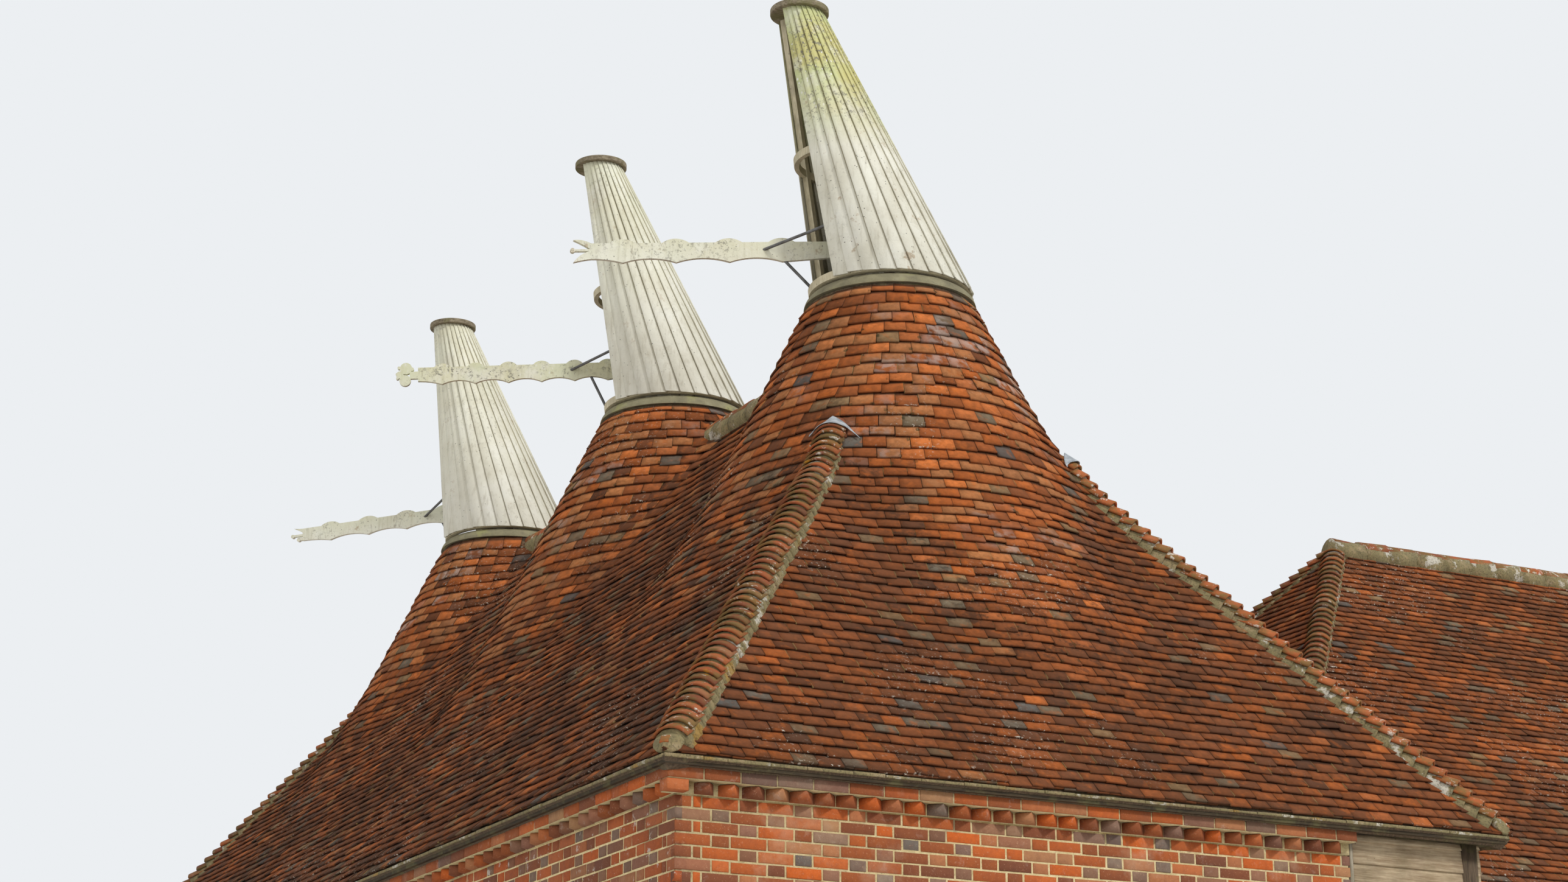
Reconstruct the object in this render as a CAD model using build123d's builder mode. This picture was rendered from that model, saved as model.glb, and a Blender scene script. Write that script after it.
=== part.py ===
from build123d import *
import os
from math import atan, cos, hypot, radians, sin, tan

os.makedirs("parts", exist_ok=True)

# Oast house: three square brick drying kilns in a row under one hipped tile roof, from which three
# round tile cones rise to turning cowls, with a boarded store wing behind.
# Millimetres, Z up. X runs along the short end wall, Y along the row of kilns. The origin is on the
# ground, below the kiln row's axis, in the middle of the thickness of the near end wall.

# Brickwork
COURSE = 71.0             # one brick and its bed joint
WALL_COURSES = 68         # courses from the ground to the top of the cornice
WALL = 343.0              # thickness of one and a half bricks
BRICK_LENGTH = 4700.0     # brick part of each end wall, from the long wall's corner
CORNICE_OUT = 85.0        # how far the cornice stands out from the wall face
TOOTH = 106.0             # end of a brick laid cornerwise under the cornice's top course
TOOTH_PITCH = 151.0
CORNER_BLOCK = 140.0      # square block at a corner of the brick walls, in the same course
TIMBER_WALL = 150.0       # framed and boarded wall
POST = 110.0              # square post where the brickwork ends

# Kiln range
HALF_WIDTH = 2880.0       # from the kiln axis to the outer faces of the long wall and back wall
END_TO_KILN = 2560.0      # from an end wall's outer face to the nearest kiln axis
KILN_PITCH = 3600.0       # from kiln to kiln
KILNS = 3
EAVES_OUT = 150.0         # tile edge beyond the wall face
EAVES_BOARD = 30.0        # thickness of the board between the cornice and the tiles
BOARD_IN = 30.0           # eaves board's edge, in from the tile edge
BOARD_JOINT = 2.0         # open joint between eaves boards
TILE_EDGE = 45.0          # upright edge of the tiling at the eaves
RIDGE_RISE = 3835.0       # from the eaves' tile edge to the line where the slopes meet
ROOF_SKIN = 110.0         # tiles, battens and plaster, square to the slope

# Round tile cones
CONE_TOP_R = 620.0        # tiles at the top of a cone
CONE_SKIN = 120.0         # level thickness of a cone's skin
CONE_SPREAD = 0.47        # growth of the radius with each unit down
CONE_TOPS = (8858.0, 9018.0, 8808.0)      # heights of the three tile tops
CONE_FOOT_RISE = 750.0    # where a cone's skin ends, above the wall top

# Bonnet and ridge coverings, with a lead hood where each of the kilns' hips meets its cone
COVER_R = 105.0
COVER_SINK = 35.0         # centre of the covering below the line where the slopes meet
HOOD_LEAD = 8.0
HOOD_LENGTH = 210.0       # along the hip, level
RIDGE_LAP = 60.0          # ridge covering past the ends of the wing's ridge
COVER_JOINT = 2.0

# Cement curb and pivot in a cone's mouth
CURB_HEIGHT = 90.0
CURB_TOP_R = 540.0
CURB_SHOULDER_R = 600.0
CURB_SHOULDER_UP = 48.0
BEAM = 100.0
BEAM_DROP = 150.0         # from the tile top down to the beam's top
PIVOT_R = 38.0

# Turning cowls
COWL_GAP = 10.0           # from the curb up to the cowl
COWL_BASE_R = 605.0
COWL_TOP_R = 185.0
COWL_HEIGHT = 2180.0
COWL_LEAN = 650.0         # how far the top lies in front of the pivot
COWL_BOARD = 22.0
COWL_MOUTH = 38.0         # half the angle of the open side
COWL_HEADINGS = (162.0, 154.0, 132.5)     # where each open side faces at rest, from +X
CAP_R = 217.0
CAP_THICK = 45.0
CAP_ROUND = 11.0          # rounding of the cap's upper edge
POST_CLEAR = 10.0         # between the post's top and the rib that leans over it
FRAME_BAR = 55.0          # rings and bars inside the cowl
HOOP_DEPTH = 38.0         # of the inside hoop, across its ring
CROSS_BAR = 88.0          # width of the bar over the pivot post
RIB = 45.0                # upright ribs that the boards are nailed to
RIB_TURNS = (COWL_MOUTH + 7, 115.0, 180.0, 245.0, 360 - COWL_MOUTH - 7)
TRIM_STOCK = 20.0         # stock outside the boards before a frame piece is trimmed to them
SEAT = 0.3                # clearance where one piece seats on another
RUNNING_GAP = 3.0         # round the pivot post

# Vanes, one for each cowl; each board's heights are from its own middle line
VANE_UPS = (376.0, 411.0, 372.0)          # middle line above the cowl's foot, at the turning axis
VANE_DROOPS = (4.0, 2.1, 2.1)             # degrees that the board hangs below level
VANE_ROOT = 363.0         # inner end, from the turning axis
VANE_ENDS = (2165.0, 2130.0, 2165.0)      # where the plain board ends and its carved end begins
VANE_CUSPS = (1942.0, 1930.0, 1869.0)     # outermost point of the lower edge's scallops
VANE_SCALLOPS = (385.0, 273.0, 400.0)     # from point to point
VANE_COUNTS = (3, 5, 3)                   # scallops inwards of the outermost point
VANE_NARROW = 118.0       # board's depth between its swellings
VANE_WAVE = 31.0          # rise of each swelling
VANE_THICK = 30.0
PAW_NECK = 31.0           # half depth of the second board's neck
CARVED_LAP = 1.0          # carved end drawn over the plain board's end
STAY_R = 11.0
STAY_OUTS = (930.0, 875.0, 880.0)         # where the upper strut meets each board
ROD_OUTS = (785.0, 700.0, 700.0)          # where the lower rod meets each board
STAY_RISE = 75.0          # upper strut's end above the board's middle line at the cowl

# Store wing: a boarded hall under a hipped roof of its own, square to the row of kilns
WING_RIDGE_LENGTH = 3600.0
WING_RUN = 3680.0         # from the wing's ridge to its eaves, on all four sides
WING_RISE = 3930.0
VALLEY_GAP = 10.0         # between the two roofs' eaves
VALLEY_BEAM_WIDE = 300.0
VALLEY_BEAM_DEEP = 220.0

# Worked out from the sizes above
WALL_TOP = COURSE * WALL_COURSES
END_FACE = -WALL / 2
KILN_YS = tuple(END_FACE + END_TO_KILN + KILN_PITCH * i for i in range(KILNS))
FAR_FACE = KILN_YS[-1] + END_TO_KILN
MIDDLE_Y = (END_FACE + FAR_FACE) / 2
ROW_LENGTH = FAR_FACE - END_FACE
ROOF_FOOT = WALL_TOP + EAVES_BOARD
EDGE_TOP = ROOF_FOOT + TILE_EDGE
RIDGE = EDGE_TOP + RIDGE_RISE
ROOF_HALF = HALF_WIDTH + EAVES_OUT
ROOF_NEAR = END_FACE - EAVES_OUT
ROOF_FAR = FAR_FACE + EAVES_OUT
LONG_PITCH = atan(RIDGE_RISE / ROOF_HALF)
END_PITCH = atan(RIDGE_RISE / (KILN_YS[0] - ROOF_NEAR))
BRICK_END = BRICK_LENGTH - HALF_WIDTH
WING_NEAR = ROOF_HALF + VALLEY_GAP
WING_RIDGE_NEAR = WING_NEAR + WING_RUN
WING_RIDGE_FAR = WING_RIDGE_NEAR + WING_RIDGE_LENGTH
WING_FAR = WING_RIDGE_FAR + WING_RUN
WING_HALF = WING_RUN - EAVES_OUT
WING_INNER = WING_HALF - TIMBER_WALL
WING_RIDGE = EDGE_TOP + WING_RISE
WING_PITCH = atan(WING_RISE / WING_RUN)
FAR_AWAY = 40000.0


def save(builder, name):
    """Name a finished piece and write it to its own file."""
    builder.part.label = name
    export_step(builder.part, f"parts/{name}.step")


def block(x0, x1, y0, y1, z0, z1):
    """A plain rectangular piece between two corners."""
    with BuildPart() as piece:
        with BuildSketch(Plane.XY.offset(z0)):
            with Locations(((x0 + x1) / 2, (y0 + y1) / 2)):
                Rectangle(x1 - x0, y1 - y0)
        extrude(amount=z1 - z0)
    return piece


# Walls of the kiln range
save(block(-HALF_WIDTH, BRICK_END, END_FACE, END_FACE + WALL, 0, WALL_TOP), "end_wall")
save(block(-HALF_WIDTH, BRICK_END, FAR_FACE - WALL, FAR_FACE, 0, WALL_TOP), "far_end_wall")
save(block(-HALF_WIDTH, -HALF_WIDTH + WALL, END_FACE + WALL, FAR_FACE - WALL, 0, WALL_TOP), "long_wall")
save(block(HALF_WIDTH - TIMBER_WALL, HALF_WIDTH, END_FACE, FAR_FACE, 0, WALL_TOP), "back_wall")

with BuildPart() as corner_posts:
    with BuildSketch(Plane.XY):
        with Locations((BRICK_END + POST / 2, END_FACE + POST / 2),
                       (BRICK_END + POST / 2, FAR_FACE - POST / 2)):
            Rectangle(POST, POST)
    extrude(amount=WALL_TOP)
save(corner_posts, "corner_posts")

PANEL_FROM = BRICK_END + POST
PANEL_TO = HALF_WIDTH - TIMBER_WALL
with BuildPart() as boarded_panels:
    with BuildSketch(Plane.XY):
        with Locations(((PANEL_FROM + PANEL_TO) / 2, END_FACE + TIMBER_WALL / 2),
                       ((PANEL_FROM + PANEL_TO) / 2, FAR_FACE - TIMBER_WALL / 2)):
            Rectangle(PANEL_TO - PANEL_FROM, TIMBER_WALL)
    extrude(amount=WALL_TOP)
save(boarded_panels, "boarded_panels")


def cornice(plane, length, square=0, corner_last=False):
    """Stretcher course over a row of bricks laid cornerwise, along local X, standing out along local -Y.

    A block of length square stands at one end of the cornerwise row, the last end if corner_last."""
    row = length - square
    row_middle = row / 2 if corner_last else square + row / 2
    square_middle = length - square / 2 if corner_last else square / 2
    with BuildPart() as piece:
        with BuildSketch(plane.offset(WALL_TOP - COURSE)):
            with Locations((length / 2, -CORNICE_OUT / 2)):
                Rectangle(length, CORNICE_OUT)
        extrude(amount=COURSE)
        with BuildSketch(plane.offset(WALL_TOP - 2 * COURSE)):
            with Locations((row_middle, 0)):
                with GridLocations(TOOTH_PITCH, 1, int(row // TOOTH_PITCH), 1):
                    Rectangle(TOOTH, TOOTH, rotation=45)
            with Locations((length / 2, TOOTH)):
                Rectangle(length, 2 * TOOTH, mode=Mode.SUBTRACT)
            if square:
                with Locations((square_middle, -CORNICE_OUT / 2)):
                    Rectangle(square, CORNICE_OUT)
        extrude(amount=COURSE)
    return piece


END_CORNICE = BRICK_LENGTH + CORNICE_OUT
near_plane = Plane(origin=(-HALF_WIDTH - CORNICE_OUT, END_FACE, 0))
far_plane = Plane(origin=(BRICK_END, FAR_FACE, 0), x_dir=(-1, 0, 0), z_dir=(0, 0, 1))
long_plane = Plane(origin=(-HALF_WIDTH, FAR_FACE, 0), x_dir=(0, -1, 0), z_dir=(0, 0, 1))
save(cornice(near_plane, END_CORNICE, CORNER_BLOCK), "end_cornice")
save(cornice(far_plane, END_CORNICE, CORNER_BLOCK, corner_last=True), "far_end_cornice")
save(cornice(long_plane, ROW_LENGTH), "long_cornice")

BOARD_OUT = EAVES_OUT - BOARD_IN
BOARD_WIDE = WALL + BOARD_OUT
with BuildPart() as eaves_boards:
    with BuildSketch(Plane.XY.offset(WALL_TOP)):
        with Locations((0, END_FACE - BOARD_OUT + BOARD_WIDE / 2), (0, FAR_FACE + BOARD_OUT - BOARD_WIDE / 2)):
            Rectangle(2 * (HALF_WIDTH + BOARD_OUT), BOARD_WIDE)
        with Locations((-HALF_WIDTH - BOARD_OUT + BOARD_WIDE / 2, MIDDLE_Y),
                       (HALF_WIDTH + BOARD_OUT - BOARD_WIDE / 2, MIDDLE_Y)):
            Rectangle(BOARD_WIDE, ROW_LENGTH - 2 * WALL - 2 * BOARD_JOINT)
    extrude(amount=EAVES_BOARD)
save(eaves_boards, "eaves_boards")


def hipped_form(across, along, half, near, far, ridge_near, ridge_far, edge, ridge):
    """A hipped roof's whole form: a gable profile met with a long profile square to it."""
    with BuildPart() as piece:
        with BuildSketch(across):
            with BuildLine():
                Polyline((-half, ROOF_FOOT), (half, ROOF_FOOT), (half, edge), (0, ridge), (-half, edge),
                         close=True)
            make_face()
        extrude(amount=FAR_AWAY, both=True)
        with BuildSketch(along):
            with BuildLine():
                Polyline((near, ROOF_FOOT), (far, ROOF_FOOT), (far, edge), (ridge_far, ridge),
                         (ridge_near, ridge), (near, edge), close=True)
            make_face()
        extrude(amount=FAR_AWAY, both=True, mode=Mode.INTERSECT)
    return piece


# Roof of the kiln range: the slopes' outer form, less the hollow under them
roof_form = hipped_form(Plane.XZ, Plane.YZ, ROOF_HALF, ROOF_NEAR, ROOF_FAR, KILN_YS[0], KILN_YS[-1],
                        EDGE_TOP, RIDGE)
VOID_DROP = ROOF_SKIN / cos(LONG_PITCH)
END_DROP = ROOF_SKIN / cos(END_PITCH)
VOID_RIDGE = RIDGE - VOID_DROP
VOID_HALF = HALF_WIDTH - WALL
VOID_EDGE = VOID_RIDGE - VOID_HALF * tan(LONG_PITCH)
VOID_RIDGE_IN = (END_DROP - VOID_DROP) / tan(END_PITCH)
VOID_RIDGE_NEAR = KILN_YS[0] + VOID_RIDGE_IN
VOID_RIDGE_FAR = KILN_YS[-1] - VOID_RIDGE_IN
VOID_RUN = (VOID_RIDGE - VOID_EDGE) / tan(END_PITCH)
roof_void = hipped_form(Plane.XZ, Plane.YZ, VOID_HALF, VOID_RIDGE_NEAR - VOID_RUN, VOID_RIDGE_FAR + VOID_RUN,
                        VOID_RIDGE_NEAR, VOID_RIDGE_FAR, VOID_EDGE, VOID_RIDGE)


def cone_radius(kiln, height):
    """Outer radius of a kiln's tile cone at a height."""
    return CONE_TOP_R + CONE_SPREAD * (CONE_TOPS[kiln] - height)


CONE_FOOT = WALL_TOP + CONE_FOOT_RISE


def cone_form(kiln):
    """Whole cone of one kiln, from its tile top down to where it dips under the slopes."""
    with BuildPart() as piece:
        with BuildSketch(Plane.XY.offset(CONE_FOOT)):
            with Locations((0, KILN_YS[kiln])):
                Circle(cone_radius(kiln, CONE_FOOT))
        with BuildSketch(Plane.XY.offset(CONE_TOPS[kiln])):
            with Locations((0, KILN_YS[kiln])):
                Circle(CONE_TOP_R)
        loft()
    return piece


cone_forms = [cone_form(kiln) for kiln in range(KILNS)]

with BuildPart() as roof_shell:
    add(roof_form.part)
    add(roof_void.part, mode=Mode.SUBTRACT)
    for form in cone_forms:
        add(form.part, mode=Mode.SUBTRACT)


def slope(shell, corners, top):
    """The part of a roof's shell that stands over one outline of the plan."""
    with BuildPart() as piece:
        with BuildSketch(Plane.XY.offset(ROOF_FOOT)):
            with BuildLine():
                Polyline(*corners, close=True)
            make_face()
        extrude(amount=top - ROOF_FOOT)
        add(shell.part, mode=Mode.INTERSECT)
    return piece


NEAR_LEFT = (-ROOF_HALF, ROOF_NEAR)
NEAR_RIGHT = (ROOF_HALF, ROOF_NEAR)
FAR_LEFT = (-ROOF_HALF, ROOF_FAR)
FAR_RIGHT = (ROOF_HALF, ROOF_FAR)
NEAR_TOP = (0, KILN_YS[0])
FAR_TOP = (0, KILN_YS[-1])
save(slope(roof_shell, [NEAR_LEFT, NEAR_TOP, FAR_TOP, FAR_LEFT], RIDGE), "left_slope")
save(slope(roof_shell, [NEAR_RIGHT, FAR_RIGHT, FAR_TOP, NEAR_TOP], RIDGE), "right_slope")
save(slope(roof_shell, [NEAR_LEFT, NEAR_RIGHT, NEAR_TOP], RIDGE), "near_slope")
save(slope(roof_shell, [FAR_LEFT, FAR_TOP, FAR_RIGHT], RIDGE), "far_slope")


def upright_axis(kiln):
    """Plane through a kiln's axis for profiles that turn about it, with X outwards and Y up."""
    return Plane(origin=(0, KILN_YS[kiln], 0), x_dir=(1, 0, 0), z_dir=(0, -1, 0))


def turning_axis(kiln):
    """Upright axis of a kiln."""
    return Axis((0, KILN_YS[kiln], 0), (0, 0, 1))


def tile_cone(kiln):
    """Hollow round cone of tiles, open at the top and into the roof."""
    foot_r = cone_radius(kiln, CONE_FOOT)
    with BuildPart() as piece:
        with BuildSketch(upright_axis(kiln)):
            with BuildLine():
                Polyline((foot_r - CONE_SKIN, CONE_FOOT), (foot_r, CONE_FOOT), (CONE_TOP_R, CONE_TOPS[kiln]),
                         (CONE_TOP_R - CONE_SKIN, CONE_TOPS[kiln]), close=True)
            make_face()
        revolve(axis=turning_axis(kiln))
        add(roof_void.part, mode=Mode.SUBTRACT)
    return piece


for kiln in range(KILNS):
    save(tile_cone(kiln), f"tile_cone_{kiln + 1}")


# Bonnet, ridge and lead coverings, bedded on the slopes
def covering(start, end, radius, trims):
    """A round-backed row of bonnet or ridge tiles from start to end, shaped to what it lies on."""
    start_point = Vector(*start)
    run = Vector(*end) - start_point
    with BuildPart() as piece:
        with BuildSketch(Plane(origin=start_point, z_dir=run)):
            Circle(radius)
        extrude(amount=run.length)
        for trim in trims:
            add(trim.part, mode=Mode.SUBTRACT)
    return piece


def largest(builder):
    """The main solid of a piece that trimming has cut into several."""
    with BuildPart() as piece:
        add(builder.part.solids().sort_by(SortBy.VOLUME)[-1])
    return piece


def hip(corner, ridge_end, ridge, bounds, trims):
    """Bonnet row from a corner of the eaves up to the ridge's end, kept within its bounds."""
    start = (corner[0], corner[1], EDGE_TOP - COVER_SINK)
    end = (ridge_end[0], ridge_end[1], ridge - COVER_SINK)
    with BuildPart() as piece:
        add(covering(start, end, COVER_R, trims).part)
        add(bounds.part, mode=Mode.INTERSECT)
    return largest(piece)


# Where a hip's crown dies into its cone, as a share of the hip from the kiln's axis
HIP_RUN = hypot(ROOF_HALF, KILN_YS[0] - ROOF_NEAR)
HIP_FALL = RIDGE_RISE / HIP_RUN
HIP_CROWN = RIDGE - COVER_SINK + COVER_R * hypot(1, HIP_FALL)


def hood_inner(kiln):
    """Level distance from a kiln's axis to where a hip's crown dies into the cone."""
    return (CONE_TOP_R + CONE_SPREAD * (CONE_TOPS[kiln] - HIP_CROWN)) / (1 - CONE_SPREAD * HIP_FALL)


def hip_hood(corner, kiln, row):
    """Thin lead hood over the top end of a hip, dressed down on to the cone."""
    inner = hood_inner(kiln) / HIP_RUN
    outer = (hood_inner(kiln) + HOOD_LENGTH) / HIP_RUN
    apex = Vector(0, KILN_YS[kiln], RIDGE - COVER_SINK)
    run = Vector(corner[0], corner[1], EDGE_TOP - COVER_SINK) - apex
    start = apex + run * outer
    end = apex + run * (inner * 0.9)
    return largest(covering(tuple(start), tuple(end), COVER_R + HOOD_LEAD, [roof_form, cone_forms[kiln], row]))


kiln_bounds = block(-ROOF_HALF, ROOF_HALF, ROOF_NEAR, ROOF_FAR, EDGE_TOP, RIDGE)
hoods = []
for corner, ridge_end, kiln, name in [(NEAR_LEFT, NEAR_TOP, 0, "near_left_hip"),
                                      (NEAR_RIGHT, NEAR_TOP, 0, "near_right_hip"),
                                      (FAR_LEFT, FAR_TOP, KILNS - 1, "far_left_hip"),
                                      (FAR_RIGHT, FAR_TOP, KILNS - 1, "far_right_hip")]:
    row = hip(corner, ridge_end, RIDGE, kiln_bounds, [roof_form, cone_forms[kiln]])
    save(row, name)
    hoods.append(hip_hood(corner, kiln, row))

with BuildPart() as hip_hoods:
    for hood in hoods:
        add(hood.part)
save(hip_hoods, "hip_hoods")

with BuildPart() as saddle_ridges:
    for kiln in range(KILNS - 1):
        start = (0, KILN_YS[kiln], RIDGE - COVER_SINK)
        end = (0, KILN_YS[kiln + 1], RIDGE - COVER_SINK)
        add(largest(covering(start, end, COVER_R, [roof_form, cone_forms[kiln], cone_forms[kiln + 1]])).part)
save(saddle_ridges, "saddle_ridges")


# Curb, pivot beam and post in each cone's mouth
def curb(kiln):
    """Cement ring on the cone's tile top, with a rounded shoulder that leans in under the cowl."""
    foot = CONE_TOPS[kiln]
    inner = CONE_TOP_R - CONE_SKIN
    with BuildPart() as piece:
        with BuildSketch(upright_axis(kiln)):
            with BuildLine():
                ThreePointArc((CONE_TOP_R, foot), (CURB_SHOULDER_R, foot + CURB_SHOULDER_UP),
                              (CURB_TOP_R, foot + CURB_HEIGHT))
                Polyline((CURB_TOP_R, foot + CURB_HEIGHT), (inner, foot + CURB_HEIGHT), (inner, foot),
                         (CONE_TOP_R, foot))
            make_face()
        revolve(axis=turning_axis(kiln))
    return piece


def cowl_foot(kiln):
    """Height of a cowl's lowest edge."""
    return CONE_TOPS[kiln] + CURB_HEIGHT + COWL_GAP


# The post ends where the back of the cowl leans over it, and the hoop's cross bar rides just above
BACK_OFF = COWL_BASE_R - COWL_BOARD - RIB - PIVOT_R - POST_CLEAR
PIVOT_TOP = COWL_HEIGHT * BACK_OFF / (COWL_BASE_R - COWL_TOP_R + COWL_LEAN)
HOOP_UP = PIVOT_TOP + SEAT + FRAME_BAR / 2


def pivot(kiln):
    """Beam across the cone's mouth, with the post that the cowl turns on."""
    top = CONE_TOPS[kiln] - BEAM_DROP
    inner = cone_radius(kiln, top) - CONE_SKIN - SEAT
    with BuildPart() as piece:
        with BuildSketch(Plane.XY.offset(top - BEAM)):
            with Locations((0, KILN_YS[kiln])):
                Circle(inner)
                Rectangle(2 * inner, BEAM, mode=Mode.INTERSECT)
        extrude(amount=BEAM)
        with BuildSketch(Plane.XY.offset(top)):
            with Locations((0, KILN_YS[kiln])):
                Circle(PIVOT_R)
        extrude(amount=cowl_foot(kiln) + PIVOT_TOP - top)
    return piece


for kiln in range(KILNS):
    save(curb(kiln), f"curb_{kiln + 1}")
    save(pivot(kiln), f"pivot_{kiln + 1}")


# Turning cowls, each made on a plane at its foot whose X points out of its open side
def cowl_plane(kiln):
    """Plane at a cowl's foot, on its turning axis."""
    heading = radians(COWL_HEADINGS[kiln])
    return Plane(origin=(0, KILN_YS[kiln], cowl_foot(kiln)), x_dir=(cos(heading), sin(heading), 0),
                 z_dir=(0, 0, 1))


def leaning_form(plane, inset):
    """The cowl's leaning round form, smaller all round by inset."""
    with BuildPart() as piece:
        with BuildSketch(plane):
            Circle(COWL_BASE_R - inset)
        with BuildSketch(plane.offset(COWL_HEIGHT)):
            with Locations((COWL_LEAN, 0)):
                Circle(COWL_TOP_R - inset)
        loft()
    return piece


def mouth_form(plane):
    """Wedge that opens the cowl from top to bottom."""
    half = radians(COWL_MOUTH)
    with BuildPart() as piece:
        for level, centre, reach in [(0, 0, 2 * COWL_BASE_R), (COWL_HEIGHT, COWL_LEAN, 2 * COWL_TOP_R)]:
            with BuildSketch(plane.offset(level)):
                with BuildLine():
                    Polyline((centre, 0), (centre + reach * cos(half), -reach * sin(half)),
                             (centre + reach * cos(half), reach * sin(half)), close=True)
                make_face()
        loft(ruled=True)
    return piece


def cowl_boards(plane):
    """Boarded skin of the cowl."""
    with BuildPart() as piece:
        add(leaning_form(plane, 0).part)
        add(leaning_form(plane, COWL_BOARD).part, mode=Mode.SUBTRACT)
        add(mouth_form(plane).part, mode=Mode.SUBTRACT)
    return piece


def cowl_cap(plane):
    """Flat round cap on the cowl's top."""
    with BuildPart() as piece:
        with BuildSketch(plane.offset(COWL_HEIGHT)):
            with Locations((COWL_LEAN, 0)):
                Circle(CAP_R)
        extrude(amount=CAP_THICK)
        fillet(piece.edges().filter_by(GeomType.CIRCLE).sort_by(Axis.Z)[-1], CAP_ROUND)
    return piece


def lining_radius(share):
    """Radius of the inside of the boards at a share of the cowl's height."""
    return COWL_BASE_R + (COWL_TOP_R - COWL_BASE_R) * share - COWL_BOARD


def ring(plane, centre, radius, depth):
    """Flat hoop about a point of the cowl's middle plane, with stock outside its radius."""
    with BuildPart() as piece:
        with BuildSketch(plane):
            with Locations((centre, 0)):
                Circle(radius + TRIM_STOCK)
                Circle(radius - depth, mode=Mode.SUBTRACT)
        extrude(amount=FRAME_BAR)
    return piece


def rib(plane, turn):
    """Upright rib behind the boards, from the foot ring to the cap."""
    bearing = radians(turn)
    with BuildPart() as piece:
        for share, level in [(0, 0), (1, COWL_HEIGHT)]:
            out = lining_radius(share) + (TRIM_STOCK - RIB) / 2
            place = (COWL_LEAN * share + out * cos(bearing), out * sin(bearing), 0)
            with BuildSketch(plane.offset(level)):
                with Locations(Location(place, (0, 0, turn))):
                    Rectangle(RIB + TRIM_STOCK, RIB)
        loft(ruled=True)
    return piece


def cowl_frame(plane):
    """Foot ring, inside hoop, ribs and cross bars that carry the boards and turn on the post."""
    hoop_plane = plane.offset(HOOP_UP - FRAME_BAR / 2)
    hoop_share = HOOP_UP / COWL_HEIGHT
    hoop_r = lining_radius(hoop_share)
    hoop_centre = COWL_LEAN * hoop_share
    half_chord = (hoop_r ** 2 - hoop_centre ** 2) ** 0.5
    with BuildPart() as piece:
        add(ring(plane, 0, lining_radius(0), FRAME_BAR).part)
        with BuildSketch(plane):
            Rectangle(FRAME_BAR, 2 * lining_radius(0) - FRAME_BAR)
            Circle(PIVOT_R + FRAME_BAR)
        extrude(amount=FRAME_BAR)
        with BuildSketch(plane):
            Circle(PIVOT_R + RUNNING_GAP)
        extrude(amount=FRAME_BAR, mode=Mode.SUBTRACT)
        add(ring(hoop_plane, hoop_centre, hoop_r, HOOP_DEPTH).part)
        with BuildSketch(hoop_plane):
            Rectangle(CROSS_BAR, 2 * half_chord)
        extrude(amount=FRAME_BAR)
        for turn in RIB_TURNS:
            add(rib(plane, turn).part)
        add(leaning_form(plane, COWL_BOARD + SEAT).part, mode=Mode.INTERSECT)
    return piece


# Vanes: wavy-edged boards, each with a carved end of its own
def vane_middle(kiln, out):
    """Height of a vane's middle line above the cowl's foot, at a distance from the axis."""
    return VANE_UPS[kiln] - out * tan(radians(VANE_DROOPS[kiln]))


def vane_plane(plane, kiln):
    """Plane of a vane's outer face, with X along its middle line from the turning axis."""
    droop = radians(VANE_DROOPS[kiln])
    along = plane.x_dir * cos(droop) - plane.z_dir * sin(droop)
    centre = plane.origin + plane.z_dir * VANE_UPS[kiln] + plane.y_dir * (VANE_THICK / 2)
    return Plane(origin=centre, x_dir=along, z_dir=-plane.y_dir)


def plain_board(kiln):
    """Board between its root and its carved end: scallops below, with a swelling over each point."""
    half = VANE_NARROW / 2
    pitch = VANE_SCALLOPS[kiln]
    end = VANE_ENDS[kiln]
    points = [VANE_CUSPS[kiln] - pitch * i for i in reversed(range(VANE_COUNTS[kiln] + 1))]
    low = -half - VANE_WAVE
    with BuildSketch() as face:
        with BuildLine():
            Polyline((VANE_ROOT, half), (VANE_ROOT, -half), (points[0], low))
            for start, stop in zip(points, points[1:]):
                ThreePointArc((start, low), ((start + stop) / 2, -half), (stop, low))
            ThreePointArc((points[-1], low), ((points[-1] + end) / 2, -half - VANE_WAVE / 4), (end, -half))
            Line((end, -half), (end, half))
            reached = (end, half)
            for point in reversed(points):
                swell = (min(point + pitch / 4, reached[0] - 1), half)
                Line(reached, swell)
                reached = (point - pitch / 4, half)
                ThreePointArc(swell, (point, half + VANE_WAVE), reached)
            Line(reached, (VANE_ROOT, half))
        make_face()
    return face


def jaws(end):
    """Open jaws with a tongue."""
    half = VANE_NARROW / 2
    with BuildSketch() as face:
        with BuildLine():
            ThreePointArc((end, half), (end + 60, half + 24), (end + 124, half + 26))
            ThreePointArc((end + 124, half + 26), (end + 50, half - 14), (end, 12))
            Line((end, 12), (end, half))
        make_face()
        with BuildLine():
            ThreePointArc((end, -half), (end + 60, -half - 8), (end + 132, -half - 24))
            ThreePointArc((end + 132, -half - 24), (end + 70, -half + 34), (end, 4))
            Line((end, 4), (end, -half))
        make_face()
        with Locations((end + 60, 8)):
            Rectangle(140, 15)
        with Locations((end + 133, 8)):
            Circle(17)
    return face


def paw(end):
    """Two round pads with small claws, on a narrow neck."""
    with BuildSketch() as face:
        with Locations((end + 30, -5)):
            Rectangle(80, 2 * PAW_NECK)
        for x, y, radius in [(100, 54, 50), (108, -50, 47), (150, 2, 30), (50, 48, 15), (157, 62, 13),
                             (172, 6, 13), (170, -28, 12)]:
            with Locations((end + x, y)):
                Circle(radius)
    return face


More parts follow.
